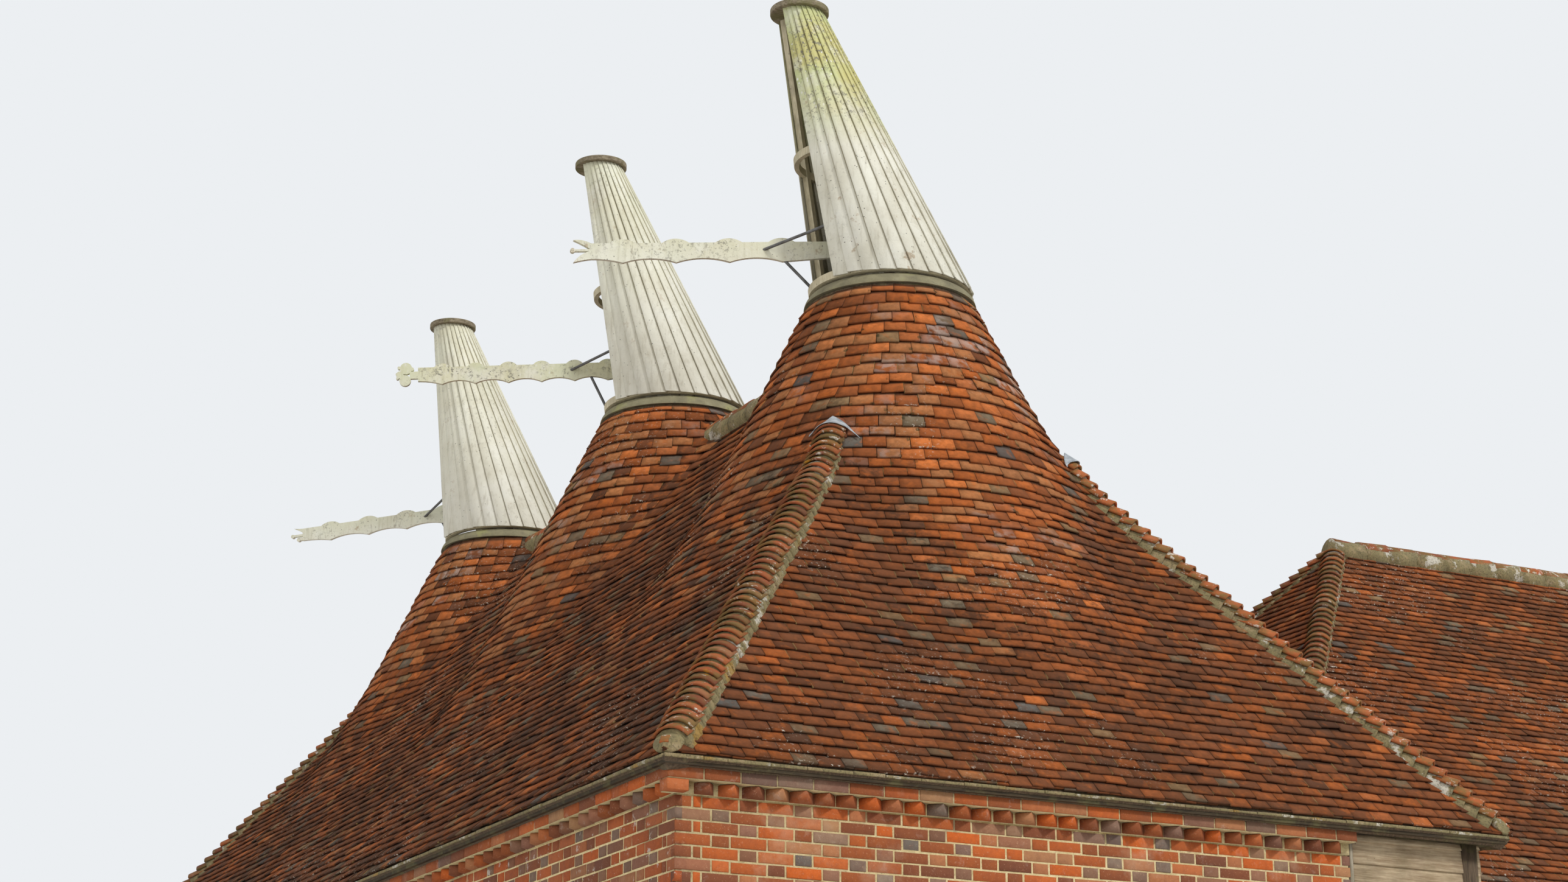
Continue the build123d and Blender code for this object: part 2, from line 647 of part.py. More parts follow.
def claws(end):
    """Three fingers: a pointed one above, a long one and a short one with round ends."""
    half = VANE_NARROW / 2
    with BuildSketch() as face:
        with BuildLine():
            ThreePointArc((end, half), (end + 45, half + 4), (end + 95, half + 12))
            ThreePointArc((end + 95, half + 12), (end + 40, half - 16), (end, half - 40))
            Line((end, half - 40), (end, half))
        make_face()
        with Locations((end + 50, -4)):
            Rectangle(110, 20)
        with Locations((end + 108, -6)):
            Circle(18)
        with Locations((end + 20, -half + 18)):
            Rectangle(50, 30)
        with Locations((end + 44, -half + 14)):
            Circle(19)
    return face


CARVED_ENDS = (jaws, paw, claws)


def vane(plane, kiln):
    """Wavy-edged board that turns the open side away from the wind."""
    with BuildPart() as piece:
        with BuildSketch(vane_plane(plane, kiln)):
            add(plain_board(kiln).sketch)
            add(CARVED_ENDS[kiln](VANE_ENDS[kiln] - CARVED_LAP).sketch)
        extrude(amount=VANE_THICK)
    return piece


def vane_stays(plane, kiln, trims):
    """Upper strut from the vane to the mouth's near rib, and lower rod down to the foot ring."""
    turn = radians(RIB_TURNS[0])
    strut_up = VANE_UPS[kiln] + STAY_RISE - VANE_ROOT * tan(radians(VANE_DROOPS[kiln]))
    share = strut_up / COWL_HEIGHT
    rib_r = lining_radius(share) - SEAT - RIB / 2
    strut_end = (COWL_LEAN * share + rib_r * cos(turn), rib_r * sin(turn), strut_up)
    strut_start = (STAY_OUTS[kiln], 0, vane_middle(kiln, STAY_OUTS[kiln]))
    rod_end = (lining_radius(0) - FRAME_BAR / 2, 0, FRAME_BAR / 2)
    rod_start = (ROD_OUTS[kiln], 0, vane_middle(kiln, ROD_OUTS[kiln]) - VANE_NARROW / 2)
    with BuildPart() as piece:
        for start, end in [(strut_start, strut_end), (rod_start, rod_end)]:
            low = plane.from_local_coords(Vector(*start))
            high = plane.from_local_coords(Vector(*end))
            with BuildSketch(Plane(origin=low, z_dir=high - low)):
                Circle(STAY_R)
            extrude(amount=(high - low).length)
        for trim in trims:
            add(trim.part, mode=Mode.SUBTRACT)
    return piece


for kiln in range(KILNS):
    plane = cowl_plane(kiln)
    number = kiln + 1
    boards = cowl_boards(plane)
    frame = cowl_frame(plane)
    board = vane(plane, kiln)
    save(boards, f"cowl_{number}_boards")
    save(cowl_cap(plane), f"cowl_{number}_cap")
    save(frame, f"cowl_{number}_frame")
    save(board, f"vane_{number}")
    save(vane_stays(plane, kiln, [board, frame, boards]), f"vane_{number}_stays")


# Store wing
WING_Y0 = MIDDLE_Y - WING_HALF
WING_Y1 = MIDDLE_Y + WING_HALF
WING_END = WING_FAR - EAVES_OUT
save(block(HALF_WIDTH, WING_END, WING_Y0, WING_Y0 + TIMBER_WALL, 0, WALL_TOP), "wing_front_wall")
save(block(HALF_WIDTH, WING_END, WING_Y1 - TIMBER_WALL, WING_Y1, 0, WALL_TOP), "wing_back_wall")
save(block(WING_END - TIMBER_WALL, WING_END, MIDDLE_Y - WING_INNER, MIDDLE_Y + WING_INNER, 0, WALL_TOP),
     "wing_end_wall")
save(block(HALF_WIDTH, HALF_WIDTH + VALLEY_BEAM_WIDE, MIDDLE_Y - WING_INNER, MIDDLE_Y + WING_INNER,
           WALL_TOP - VALLEY_BEAM_DEEP, WALL_TOP), "wing_valley_beam")

WING_BOARD_FROM = HALF_WIDTH + BOARD_OUT + BOARD_JOINT
WING_BOARD_TO = WING_FAR - BOARD_IN
WING_BOARD_WIDE = TIMBER_WALL + BOARD_OUT
BETWEEN_BOARDS = 2 * (WING_INNER - BOARD_JOINT)
with BuildPart() as wing_eaves_boards:
    with BuildSketch(Plane.XY.offset(WALL_TOP)):
        with Locations(((WING_BOARD_FROM + WING_BOARD_TO) / 2, MIDDLE_Y - WING_INNER - WING_BOARD_WIDE / 2),
                       ((WING_BOARD_FROM + WING_BOARD_TO) / 2, MIDDLE_Y + WING_INNER + WING_BOARD_WIDE / 2)):
            Rectangle(WING_BOARD_TO - WING_BOARD_FROM, WING_BOARD_WIDE)
        with Locations(((WING_BOARD_FROM + HALF_WIDTH + VALLEY_BEAM_WIDE) / 2, MIDDLE_Y)):
            Rectangle(HALF_WIDTH + VALLEY_BEAM_WIDE - WING_BOARD_FROM, BETWEEN_BOARDS)
        with Locations((WING_BOARD_TO - WING_BOARD_WIDE / 2, MIDDLE_Y)):
            Rectangle(WING_BOARD_WIDE, BETWEEN_BOARDS)
    extrude(amount=EAVES_BOARD)
save(wing_eaves_boards, "wing_eaves_boards")

wing_across = Plane(origin=(0, MIDDLE_Y, 0), x_dir=(0, 1, 0), z_dir=(1, 0, 0))
wing_form = hipped_form(wing_across, Plane.XZ, WING_RUN, WING_NEAR, WING_FAR, WING_RIDGE_NEAR, WING_RIDGE_FAR,
                        EDGE_TOP, WING_RIDGE)
WING_VOID_RIDGE = WING_RIDGE - ROOF_SKIN / cos(WING_PITCH)
wing_void = hipped_form(wing_across, Plane.XZ, WING_INNER, WING_RIDGE_NEAR - WING_INNER,
                        WING_RIDGE_FAR + WING_INNER, WING_RIDGE_NEAR, WING_RIDGE_FAR,
                        WING_VOID_RIDGE - WING_INNER * tan(WING_PITCH), WING_VOID_RIDGE)
with BuildPart() as wing_shell:
    add(wing_form.part)
    add(wing_void.part, mode=Mode.SUBTRACT)

WING_SIDES = (MIDDLE_Y - WING_RUN, MIDDLE_Y + WING_RUN)
wing_corners = [(x, y) for x in (WING_NEAR, WING_FAR) for y in WING_SIDES]
ridge_near = (WING_RIDGE_NEAR, MIDDLE_Y)
ridge_far = (WING_RIDGE_FAR, MIDDLE_Y)
save(slope(wing_shell, [wing_corners[0], wing_corners[2], ridge_far, ridge_near], WING_RIDGE), "wing_front_slope")
save(slope(wing_shell, [wing_corners[1], ridge_near, ridge_far, wing_corners[3]], WING_RIDGE), "wing_back_slope")
save(slope(wing_shell, [wing_corners[0], ridge_near, wing_corners[1]], WING_RIDGE), "wing_near_slope")
save(slope(wing_shell, [wing_corners[2], wing_corners[3], ridge_far], WING_RIDGE), "wing_far_slope")

ridge_from = (WING_RIDGE_NEAR - RIDGE_LAP, MIDDLE_Y, WING_RIDGE - COVER_SINK)
ridge_to = (WING_RIDGE_FAR + RIDGE_LAP, MIDDLE_Y, WING_RIDGE - COVER_SINK)
save(largest(covering(ridge_from, ridge_to, COVER_R, [wing_form])), "wing_ridge")

with BuildPart() as wing_hips:
    for corner in wing_corners:
        ridge_end = ridge_near if corner[0] == WING_NEAR else ridge_far
        stop = ridge_end[0] + (RIDGE_LAP + COVER_JOINT) * (-1 if corner[0] == WING_NEAR else 1)
        side = MIDDLE_Y + COVER_JOINT * (-1 if corner[1] < MIDDLE_Y else 1)
        quarter = block(min(corner[0], stop), max(corner[0], stop), min(corner[1], side), max(corner[1], side),
                        EDGE_TOP, WING_RIDGE + COVER_R)
        add(hip(corner, ridge_end, WING_RIDGE, quarter, [wing_form]).part)
save(wing_hips, "wing_hips")
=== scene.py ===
import logging
import math
from dataclasses import dataclass, field
from enum import Enum

import bmesh
import bpy
import numpy as np
from mathutils import Matrix, Vector


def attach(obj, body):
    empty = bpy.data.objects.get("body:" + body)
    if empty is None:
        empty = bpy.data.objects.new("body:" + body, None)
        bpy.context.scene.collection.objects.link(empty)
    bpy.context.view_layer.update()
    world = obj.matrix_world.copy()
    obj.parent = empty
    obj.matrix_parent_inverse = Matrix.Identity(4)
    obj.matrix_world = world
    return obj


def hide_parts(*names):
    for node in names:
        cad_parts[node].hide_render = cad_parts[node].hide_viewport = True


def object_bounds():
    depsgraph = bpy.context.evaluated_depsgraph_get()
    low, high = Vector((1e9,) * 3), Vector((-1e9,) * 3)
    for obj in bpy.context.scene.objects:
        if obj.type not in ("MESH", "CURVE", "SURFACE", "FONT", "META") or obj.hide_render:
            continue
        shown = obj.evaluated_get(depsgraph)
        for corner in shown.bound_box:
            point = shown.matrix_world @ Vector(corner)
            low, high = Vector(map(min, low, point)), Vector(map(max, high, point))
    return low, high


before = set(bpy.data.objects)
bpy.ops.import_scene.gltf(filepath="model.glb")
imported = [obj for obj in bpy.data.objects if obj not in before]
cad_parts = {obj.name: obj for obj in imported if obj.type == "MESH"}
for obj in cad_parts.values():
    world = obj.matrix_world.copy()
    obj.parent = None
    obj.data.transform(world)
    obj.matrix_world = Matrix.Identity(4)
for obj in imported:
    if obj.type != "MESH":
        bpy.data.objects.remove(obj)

log = logging.getLogger("oast_house")
Array = np.ndarray
Socket = bpy.types.NodeSocket
Finish = bpy.types.Material
Piece = bpy.types.Object
Solid = bmesh.types.BMesh
Colour = tuple[float, float, float]
CAD_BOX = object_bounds()
UP = np.array([0.0, 0.0, 1.0])

# Sizes that several pieces share, in metres.
HALF_WIDTH = 2.88
NEAR_FACE, FAR_FACE = -0.1715, 12.1485
RANGE_LENGTH = 12.32
WALL_TOP = 4.828
EAVES_HALF, EAVES_NEAR, EAVES_FAR = 3.03, -0.3215, 12.2985
EAVES_TOP, LINING_FOOT = 4.903, 4.860
AXES = (2.3885, 5.9885, 9.5885)

# How far above the eaves a hip's bonnets start, and the slip of tile below them.
HIP_START = 0.08
SLIP = (0.062, 0.060, 0.014)

# First seed of each kind of piece, the share of odd tiles and the tint of plain mortar.
WALL_SEED, CORNICE_SEED, BOARD_SEED, PANEL_SEED, UNDERCLOAK_SEED, COWL_SEED = 11, 21, 31, 51, 91, 80
KILN_TILE_SEED, WING_TILE_SEED, HIP_SEED, SADDLE_SEED, WING_HIP_SEED = 41, 77, 61, 67, 71
ROLL_SEED, DAB_SEED = 5, 9
ODD_TILES = 0.075
MORTAR_TINT = (0.5, 0.5, 0.0, 1.0)


def paint(red: int, green: int, blue: int) -> Colour:
    """A colour mixed as it looks, 0 to 255, given as linear light.

    Args:
        red: Amount of red.
        green: Amount of green.
        blue: Amount of blue.

    Returns:
        The linear colour.
    """
    shares = (red / 255, green / 255, blue / 255)
    return tuple(c / 12.92 if c <= 0.04045 else ((c + 0.055) / 1.055) ** 2.4 for c in shares)


class Shader:
    """One material's node tree, built up from a few plain steps."""

    def __init__(self, name: str) -> None:
        """Starts a material of that name."""
        self.material = bpy.data.materials.new(name)
        self.material.use_nodes = True
        self.tree = self.material.node_tree
        self.surface = self.tree.nodes["Principled BSDF"]
        self.space = self.node("ShaderNodeTexCoord").outputs["Object"]

    def node(self, kind: str, **settings: object) -> bpy.types.Node:
        """Adds a node and sets its properties."""
        made = self.tree.nodes.new(kind)
        for key, value in settings.items():
            setattr(made, key, value)
        return made

    def put(self, socket: Socket, value: object) -> None:
        """Links a socket to an input, or sets a plain number or colour there."""
        if isinstance(value, Socket):
            self.tree.links.new(value, socket)
        elif isinstance(value, tuple) and len(value) == 3 and socket.type == "RGBA":
            socket.default_value = (*value, 1.0)
        else:
            socket.default_value = value

    def stretched(self, scale: tuple[float, float, float],
                  space: Socket | None = None) -> Socket:
        """The pattern space scaled along its axes."""
        mapping = self.node("ShaderNodeMapping")
        self.put(mapping.inputs["Vector"], space or self.space)
        mapping.inputs["Scale"].default_value = scale
        return mapping.outputs["Vector"]

    def noise(self, scale: float, detail: float = 3.0, rough: float = 0.55,
              space: Socket | None = None) -> Socket:
        """Soft noise, 0 to 1.

        Args:
            scale: Cells in a metre.
            detail: Octaves.
            rough: Share kept by each finer octave.
            space: Coordinates, the object's own if left out.

        Returns:
            The noise's factor.
        """
        made = self.node("ShaderNodeTexNoise")
        self.put(made.inputs["Vector"], space or self.space)
        made.inputs["Scale"].default_value = scale
        made.inputs["Detail"].default_value = detail
        made.inputs["Roughness"].default_value = rough
        return made.outputs["Fac"]

    def cells(self, scale: float, space: Socket | None = None) -> Socket:
        """Distance to the nearest of scattered points, in cells."""
        made = self.node("ShaderNodeTexVoronoi")
        self.put(made.inputs["Vector"], space or self.space)
        made.inputs["Scale"].default_value = scale
        return made.outputs["Distance"]

    def ramp(self, factor: Socket, *stops: tuple[float, object]) -> Socket:
        """A colour or grey that changes with a factor.

        Args:
            factor: What to read.
            stops: Pairs of place and grey or colour.

        Returns:
            The colour.
        """
        made = self.node("ShaderNodeValToRGB")
        points = made.color_ramp.elements
        while len(points) < len(stops):
            points.new(0.5)
        for point, (place, value) in zip(points, stops):
            point.position = place
            point.color = (*value, 1.0) if isinstance(value, tuple) else (value, value, value, 1.0)
        self.put(made.inputs["Fac"], factor)
        return made.outputs["Color"]

    def mix(self, factor: object, low: object, high: object, how: str = "MIX") -> Socket:
        """Two colours mixed by a factor."""
        made = self.node("ShaderNodeMix", data_type="RGBA", blend_type=how)
        made.clamp_factor = True
        self.put(made.inputs[0], factor)
        self.put(made.inputs[6], low)
        self.put(made.inputs[7], high)
        return made.outputs[2]

    def maths(self, how: str, first: object, second: object = 0.0) -> Socket:
        """Sum, product or the like of two numbers."""
        made = self.node("ShaderNodeMath", operation=how)
        self.put(made.inputs[0], first)
        self.put(made.inputs[1], second)
        return made.outputs[0]

    def times(self, *factors: object) -> Socket:
        """Product of two or more numbers, in their order."""
        made = factors[0]
        for factor in factors[1:]:
            made = self.maths("MULTIPLY", made, factor)
        return made

    def patches(self, edge: tuple[float, float, float], scale: float, detail: float = 3.0,
                rough: float = 0.55) -> Socket:
        """Patches of noise.

        Args:
            edge: Noise where they begin, noise where they are full, and how strong they are there.
            scale: Cells in a metre.
            detail: Octaves.
            rough: Share kept by each finer octave.

        Returns:
            How much of a patch there is.
        """
        begin, full, strength = edge
        return self.ramp(self.noise(scale, detail, rough), (begin, 0.0), (full, strength))

    def read(self, name: str) -> tuple[Socket, ...]:
        """Red, green, blue and alpha of one of the mesh's own attributes."""
        source = self.node("ShaderNodeAttribute", attribute_name=name)
        split = self.node("ShaderNodeSeparateColor")
        self.put(split.inputs[0], source.outputs["Color"])
        return (*split.outputs, source.outputs["Alpha"])

    def height(self) -> Socket:
        """Height above the ground."""
        split = self.node("ShaderNodeSeparateXYZ")
        self.put(split.inputs[0], self.space)
        return split.outputs[2]

    def relief(self, height: object, depth: float, strength: float = 1.0,
               under: Socket | None = None) -> Socket:
        """A bump of a real depth in metres, over another if given."""
        made = self.node("ShaderNodeBump")
        made.inputs["Strength"].default_value = strength
        made.inputs["Distance"].default_value = depth
        self.put(made.inputs["Height"], height)
        if under is not None:
            self.put(made.inputs["Normal"], under)
        return made.outputs[0]

    def done(self, colour: object, roughness: object, normal: object = None,
             metallic: float = 0.0, sheen: float = 0.5) -> Finish:
        """Joins colour, roughness and relief to the surface and gives the material."""
        self.put(self.surface.inputs["Base Color"], colour)
        self.put(self.surface.inputs["Roughness"], roughness)
        self.surface.inputs["Metallic"].default_value = metallic
        self.surface.inputs["Specular IOR Level"].default_value = sheen
        if normal is not None:
            self.put(self.surface.inputs["Normal"], normal)
        return self.material


@dataclass(frozen=True)
class ClayTiles:
    """Hand-made clay tiles: a different colour each, with dirt, lichen and moss, and painted shade below each
    course's tails and along the tiles' sides.
    """

    name: str = "clay_tiles"
    blue_from: float = 0.965

    def make(self) -> Finish:
        """Builds the finish."""
        s = Shader(self.name)
        hue, value, sweep, darkening = s.read("tint")
        across, up_tile, _, _ = s.read("place")
        base = s.ramp(hue, (0.0, paint(86, 54, 38)), (0.2, paint(114, 67, 42)), (0.4, paint(139, 78, 42)),
                      (0.55, paint(157, 86, 43)), (0.7, paint(185, 100, 48)), (0.86, paint(220, 126, 66)),
                      (0.9, paint(156, 124, 86)), (self.blue_from, paint(124, 112, 92)),
                      (1.0, paint(98, 98, 96)))
        cloud = s.noise(24.0, 5.0, 0.62)
        base = s.mix(s.ramp(cloud, (0.4, 0.0), (0.66, 0.8)), base, s.mix(0.5, base, paint(94, 58, 32)))
        base = s.mix(s.patches((0.54, 0.7, 0.45), 13.0, 3.0), base, paint(204, 108, 42))
        base = s.mix(s.times(value, 0.38), base, paint(104, 76, 60))
        clean = s.maths("SUBTRACT", 1.0, s.times(darkening, 2.2))
        bloom = s.times(s.patches((0.5, 0.62, 1.0), 1.15, 3.0, 0.6),
                        s.ramp(value, (0.62, 0.0), (0.68, 1.0)))
        bloom = s.times(s.times(bloom, clean), s.patches((0.4, 0.56, 0.8), 15.0, 4.0))
        base = s.mix(bloom, base, s.mix(s.noise(5.0), paint(160, 158, 160), paint(206, 184, 166)))
        # Stains grow with each slope's darkening; on the left slope the extra partly paints the shade that
        # slope lies in.
        stain_and_shade = s.times(darkening, s.ramp(s.noise(1.25, 5.0, 0.62, s.stretched((0.55, 0.55, 1.5))),
                                                 (0.42, 0.1), (0.62, 1.0)))
        stain_and_shade = s.times(stain_and_shade, s.ramp(s.noise(11.0, 4.0, 0.6), (0.3, 0.45), (0.6, 1.0)))
        base = s.mix(stain_and_shade, base, s.mix(0.8, base, paint(62, 46, 34)))
        soot = s.times(s.patches((0.52, 0.62, 1.0), 7.0, 5.0, 0.7),
                       s.maths("ADD", s.times(darkening, 0.4), sweep))
        base = s.mix(s.times(soot, 0.7), base, paint(52, 44, 36))
        # Painted shade: each tile's tail edge and the top of its exposed part, just below the next course's
        # tails, are darkened.
        lap = s.ramp(up_tile, (0.0, 0.4), (0.05, 0.0), (0.54, 0.0), (0.66, 0.8))
        base = s.mix(lap, base, paint(58, 42, 32))
        # Painted shade in the joints: each tile darkens towards its sides, with pale lichen in patches
        # instead here and there.
        side = s.ramp(s.maths("ABSOLUTE", s.maths("SUBTRACT", across, 0.5)), (0.478, 0.0), (0.5, 0.6))
        base = s.mix(side, base, s.mix(s.patches((0.55, 0.62, 1.0), 3.0), paint(60, 46, 34),
                                       paint(168, 146, 96)))
        mossy = s.maths("MAXIMUM", s.maths("MAXIMUM", clean, sweep), 0.12)
        joint = s.ramp(s.maths("ABSOLUTE", s.maths("SUBTRACT", across, 0.5)), (0.35, 0.0), (0.4, 1.0))
        ragged = s.maths("ADD", s.cells(13.0), s.times(s.noise(70.0, 3.0), 0.16))
        dots = s.times(s.ramp(ragged, (0.28, 1.0), (0.33, 0.0)), s.times(mossy, joint))
        dots = s.times(dots, s.ramp(s.noise(1.1, 3.0), (0.4, 0.35), (0.52, 1.0)))
        base = s.mix(s.times(dots, 0.92), base, s.mix(s.noise(60.0), paint(40, 38, 26), paint(84, 78, 46)))
        spots = s.times(s.patches((0.6, 0.65, 1.0), 40.0, 3.0, 0.65),
                        s.patches((0.52, 0.62, 1.0), 0.9, 2.0))
        base = s.mix(s.times(spots, s.ramp(up_tile, (0.06, 0.95), (0.14, 0.25))), base, paint(214, 206, 190))
        rough = s.ramp(cloud, (0.2, 0.78), (0.8, 0.95))
        fine = s.noise(140.0, 4.0, 0.7)
        normal = s.relief(fine, 0.0022, 0.7, s.relief(cloud, 0.004, 0.6))
        return s.done(base, rough, normal, sheen=0.12)


@dataclass(frozen=True)
class BedMortar:
    """Lime mortar under the bonnets and ridges, greened and whitened by lichen."""

    name: str = "hip_mortar"
    green: float = 0.6

    def make(self) -> Finish:
        """Builds the finish."""
        s = Shader(self.name)
        patch = s.noise(11.0, 5.0, 0.65)
        base = s.ramp(patch, (0.3, paint(120, 108, 76)), (0.5, paint(134, 122, 84)),
                      (0.62, paint(150, 132, 96)), (0.78, paint(172, 156, 126)))
        white = s.patches((0.57, 0.62, 1.0), 5.0, 5.0, 0.7)
        base = s.mix(s.times(white, 0.8), base, paint(208, 202, 188))
        yellow = s.patches((0.62, 0.68, self.green), 3.1, 4.0, 0.6)
        base = s.mix(yellow, base, paint(170, 128, 44))
        dark = s.patches((0.5, 0.64, 0.6), 60.0, 3.0, 0.7)
        base = s.mix(dark, base, paint(70, 62, 44))
        normal = s.relief(s.noise(38.0, 5.0, 0.72), 0.008, 0.9)
        return s.done(base, s.ramp(patch, (0.2, 0.85), (0.8, 0.97)), normal)


@dataclass(frozen=True)
class Bonnets:
    """Hip and ridge tiles: clay with lichen crusts along the backs."""

    name: str = "bonnet_clay"

    def make(self) -> Finish:
        """Builds the finish."""
        s = Shader(self.name)
        hue, value, crust, _ = s.read("tint")
        base = s.ramp(hue, (0.0, paint(106, 66, 48)), (0.35, paint(140, 81, 53)), (0.7, paint(170, 93, 54)),
                      (1.0, paint(150, 104, 74)))
        base = s.mix(s.ramp(crust, (0.5, 0.0), (0.8, 0.55)), base, paint(186, 102, 54))
        olive = s.patches((0.44, 0.58, 0.75), 9.0, 5.0, 0.7)
        base = s.mix(olive, base, paint(116, 100, 58))
        white = s.patches((0.58, 0.63, 1.0), 16.0, 5.0, 0.72)
        clumps = s.maths("MAXIMUM", s.ramp(s.noise(1.1, 3.0), (0.44, 0.1), (0.6, 1.0)),
                         s.ramp(crust, (0.6, 0.0), (0.8, 0.8)))
        base = s.mix(s.times(white, clumps), base, paint(216, 210, 196))
        gold = s.patches((0.65, 0.7, 0.85), 4.3, 4.0, 0.6)
        base = s.mix(gold, base, paint(186, 132, 36))
        normal = s.relief(s.noise(48.0, 5.0, 0.7), 0.006, 0.8)
        return s.done(base, s.ramp(value, (0.0, 0.8), (1.0, 0.95)), normal, sheen=0.2)


@dataclass(frozen=True)
class Brick:
    """Old red bricks, each its own red, with grey and blue headers among them."""

    name: str = "old_brick"

    def make(self) -> Finish:
        """Builds the finish."""
        s = Shader(self.name)
        hue, value, grey, soiled = s.read("tint")
        base = s.ramp(hue, (0.0, paint(122, 74, 52)), (0.25, paint(150, 84, 48)), (0.5, paint(176, 92, 46)),
                      (0.72, paint(200, 98, 40)), (0.88, paint(178, 112, 72)), (1.0, paint(172, 130, 92)))
        blue = s.ramp(value, (0.0, paint(98, 94, 88)), (0.4, paint(136, 122, 106)), (0.7, paint(124, 96, 76)),
                      (1.0, paint(150, 120, 94)))
        base = s.mix(grey, base, blue)
        cloud = s.noise(34.0, 5.0, 0.65)
        base = s.mix(s.ramp(cloud, (0.45, 0.0), (0.75, 0.5)), base, s.mix(0.6, base, paint(110, 58, 46)))
        base = s.mix(s.patches((0.6, 0.72, 0.35), 90.0, 3.0, 0.7), base, paint(222, 178, 140))
        bloom = s.patches((0.56, 0.72, 0.35), 1.9, 5.0, 0.7)
        base = s.mix(bloom, base, paint(196, 168, 140))
        darkening = s.maths("ADD", s.patches((0.5, 0.75, 0.5), 3.4, 5.0, 0.7), s.times(soiled, 0.55))
        base = s.mix(darkening, base, s.mix(0.6, base, paint(92, 66, 58)))
        salt = s.times(s.patches((0.6, 0.64, 0.9), 9.0, 6.0, 0.75),
                       s.maths("ADD", s.times(soiled, 0.8), 0.08))
        base = s.mix(salt, base, paint(214, 204, 192))
        normal = s.relief(s.noise(150.0, 4.0, 0.7), 0.0018, 0.8, s.relief(cloud, 0.005, 0.7))
        return s.done(base, s.ramp(cloud, (0.2, 0.84), (0.8, 0.96)), normal, sheen=0.25)


@dataclass(frozen=True)
class WallMortar:
    """Buff lime mortar between bricks."""

    name: str = "wall_mortar"

    def make(self) -> Finish:
        """Builds the finish."""
        s = Shader(self.name)
        cloud = s.noise(22.0, 5.0, 0.7)
        base = s.ramp(cloud, (0.25, paint(182, 160, 112)), (0.5, paint(214, 194, 144)),
                      (0.75, paint(228, 212, 168)))
        base = s.mix(s.patches((0.58, 0.72, 0.5), 2.3, 4.0, 0.6), base, paint(140, 122, 96))
        base = s.mix(s.patches((0.6, 0.7, 0.6), 130.0, 3.0), base, paint(120, 100, 78))
        normal = s.relief(s.noise(110.0, 4.0, 0.75), 0.004, 0.9)
        return s.done(base, s.ramp(cloud, (0.2, 0.88), (0.8, 0.98)), normal)


@dataclass(frozen=True)
class Timber:
    """Sawn timber left to the weather, with grain along it."""

    name: str
    pale: Colour
    dark: Colour
    stretch: tuple[float, float, float] = (1.0, 1.0, 0.08)
    moss: float = 0.0

    def make(self) -> Finish:
        """Builds the finish."""
        s = Shader(self.name)
        along = s.stretched(self.stretch)
        grain = s.noise(70.0, 5.0, 0.7, along)
        broad = s.noise(6.0, 4.0, 0.6)
        base = s.mix(s.ramp(grain, (0.35, 0.0), (0.65, 1.0)), self.dark, self.pale)
        base = s.mix(s.ramp(broad, (0.42, 0.0), (0.7, 0.55)), base, s.mix(0.5, base, paint(60, 52, 44)))
        green = s.patches((0.5, 0.62, self.moss), 5.0, 5.0, 0.7)
        base = s.mix(green, base, paint(112, 108, 70))
        base = s.mix(s.ramp(s.cells(14.0), (0.05, 0.5), (0.1, 0.0)), base, paint(60, 48, 38))
        normal = s.relief(grain, 0.003, 0.8, s.relief(broad, 0.003, 0.4))
        return s.done(base, s.ramp(grain, (0.2, 0.7), (0.8, 0.92)), normal, sheen=0.2)


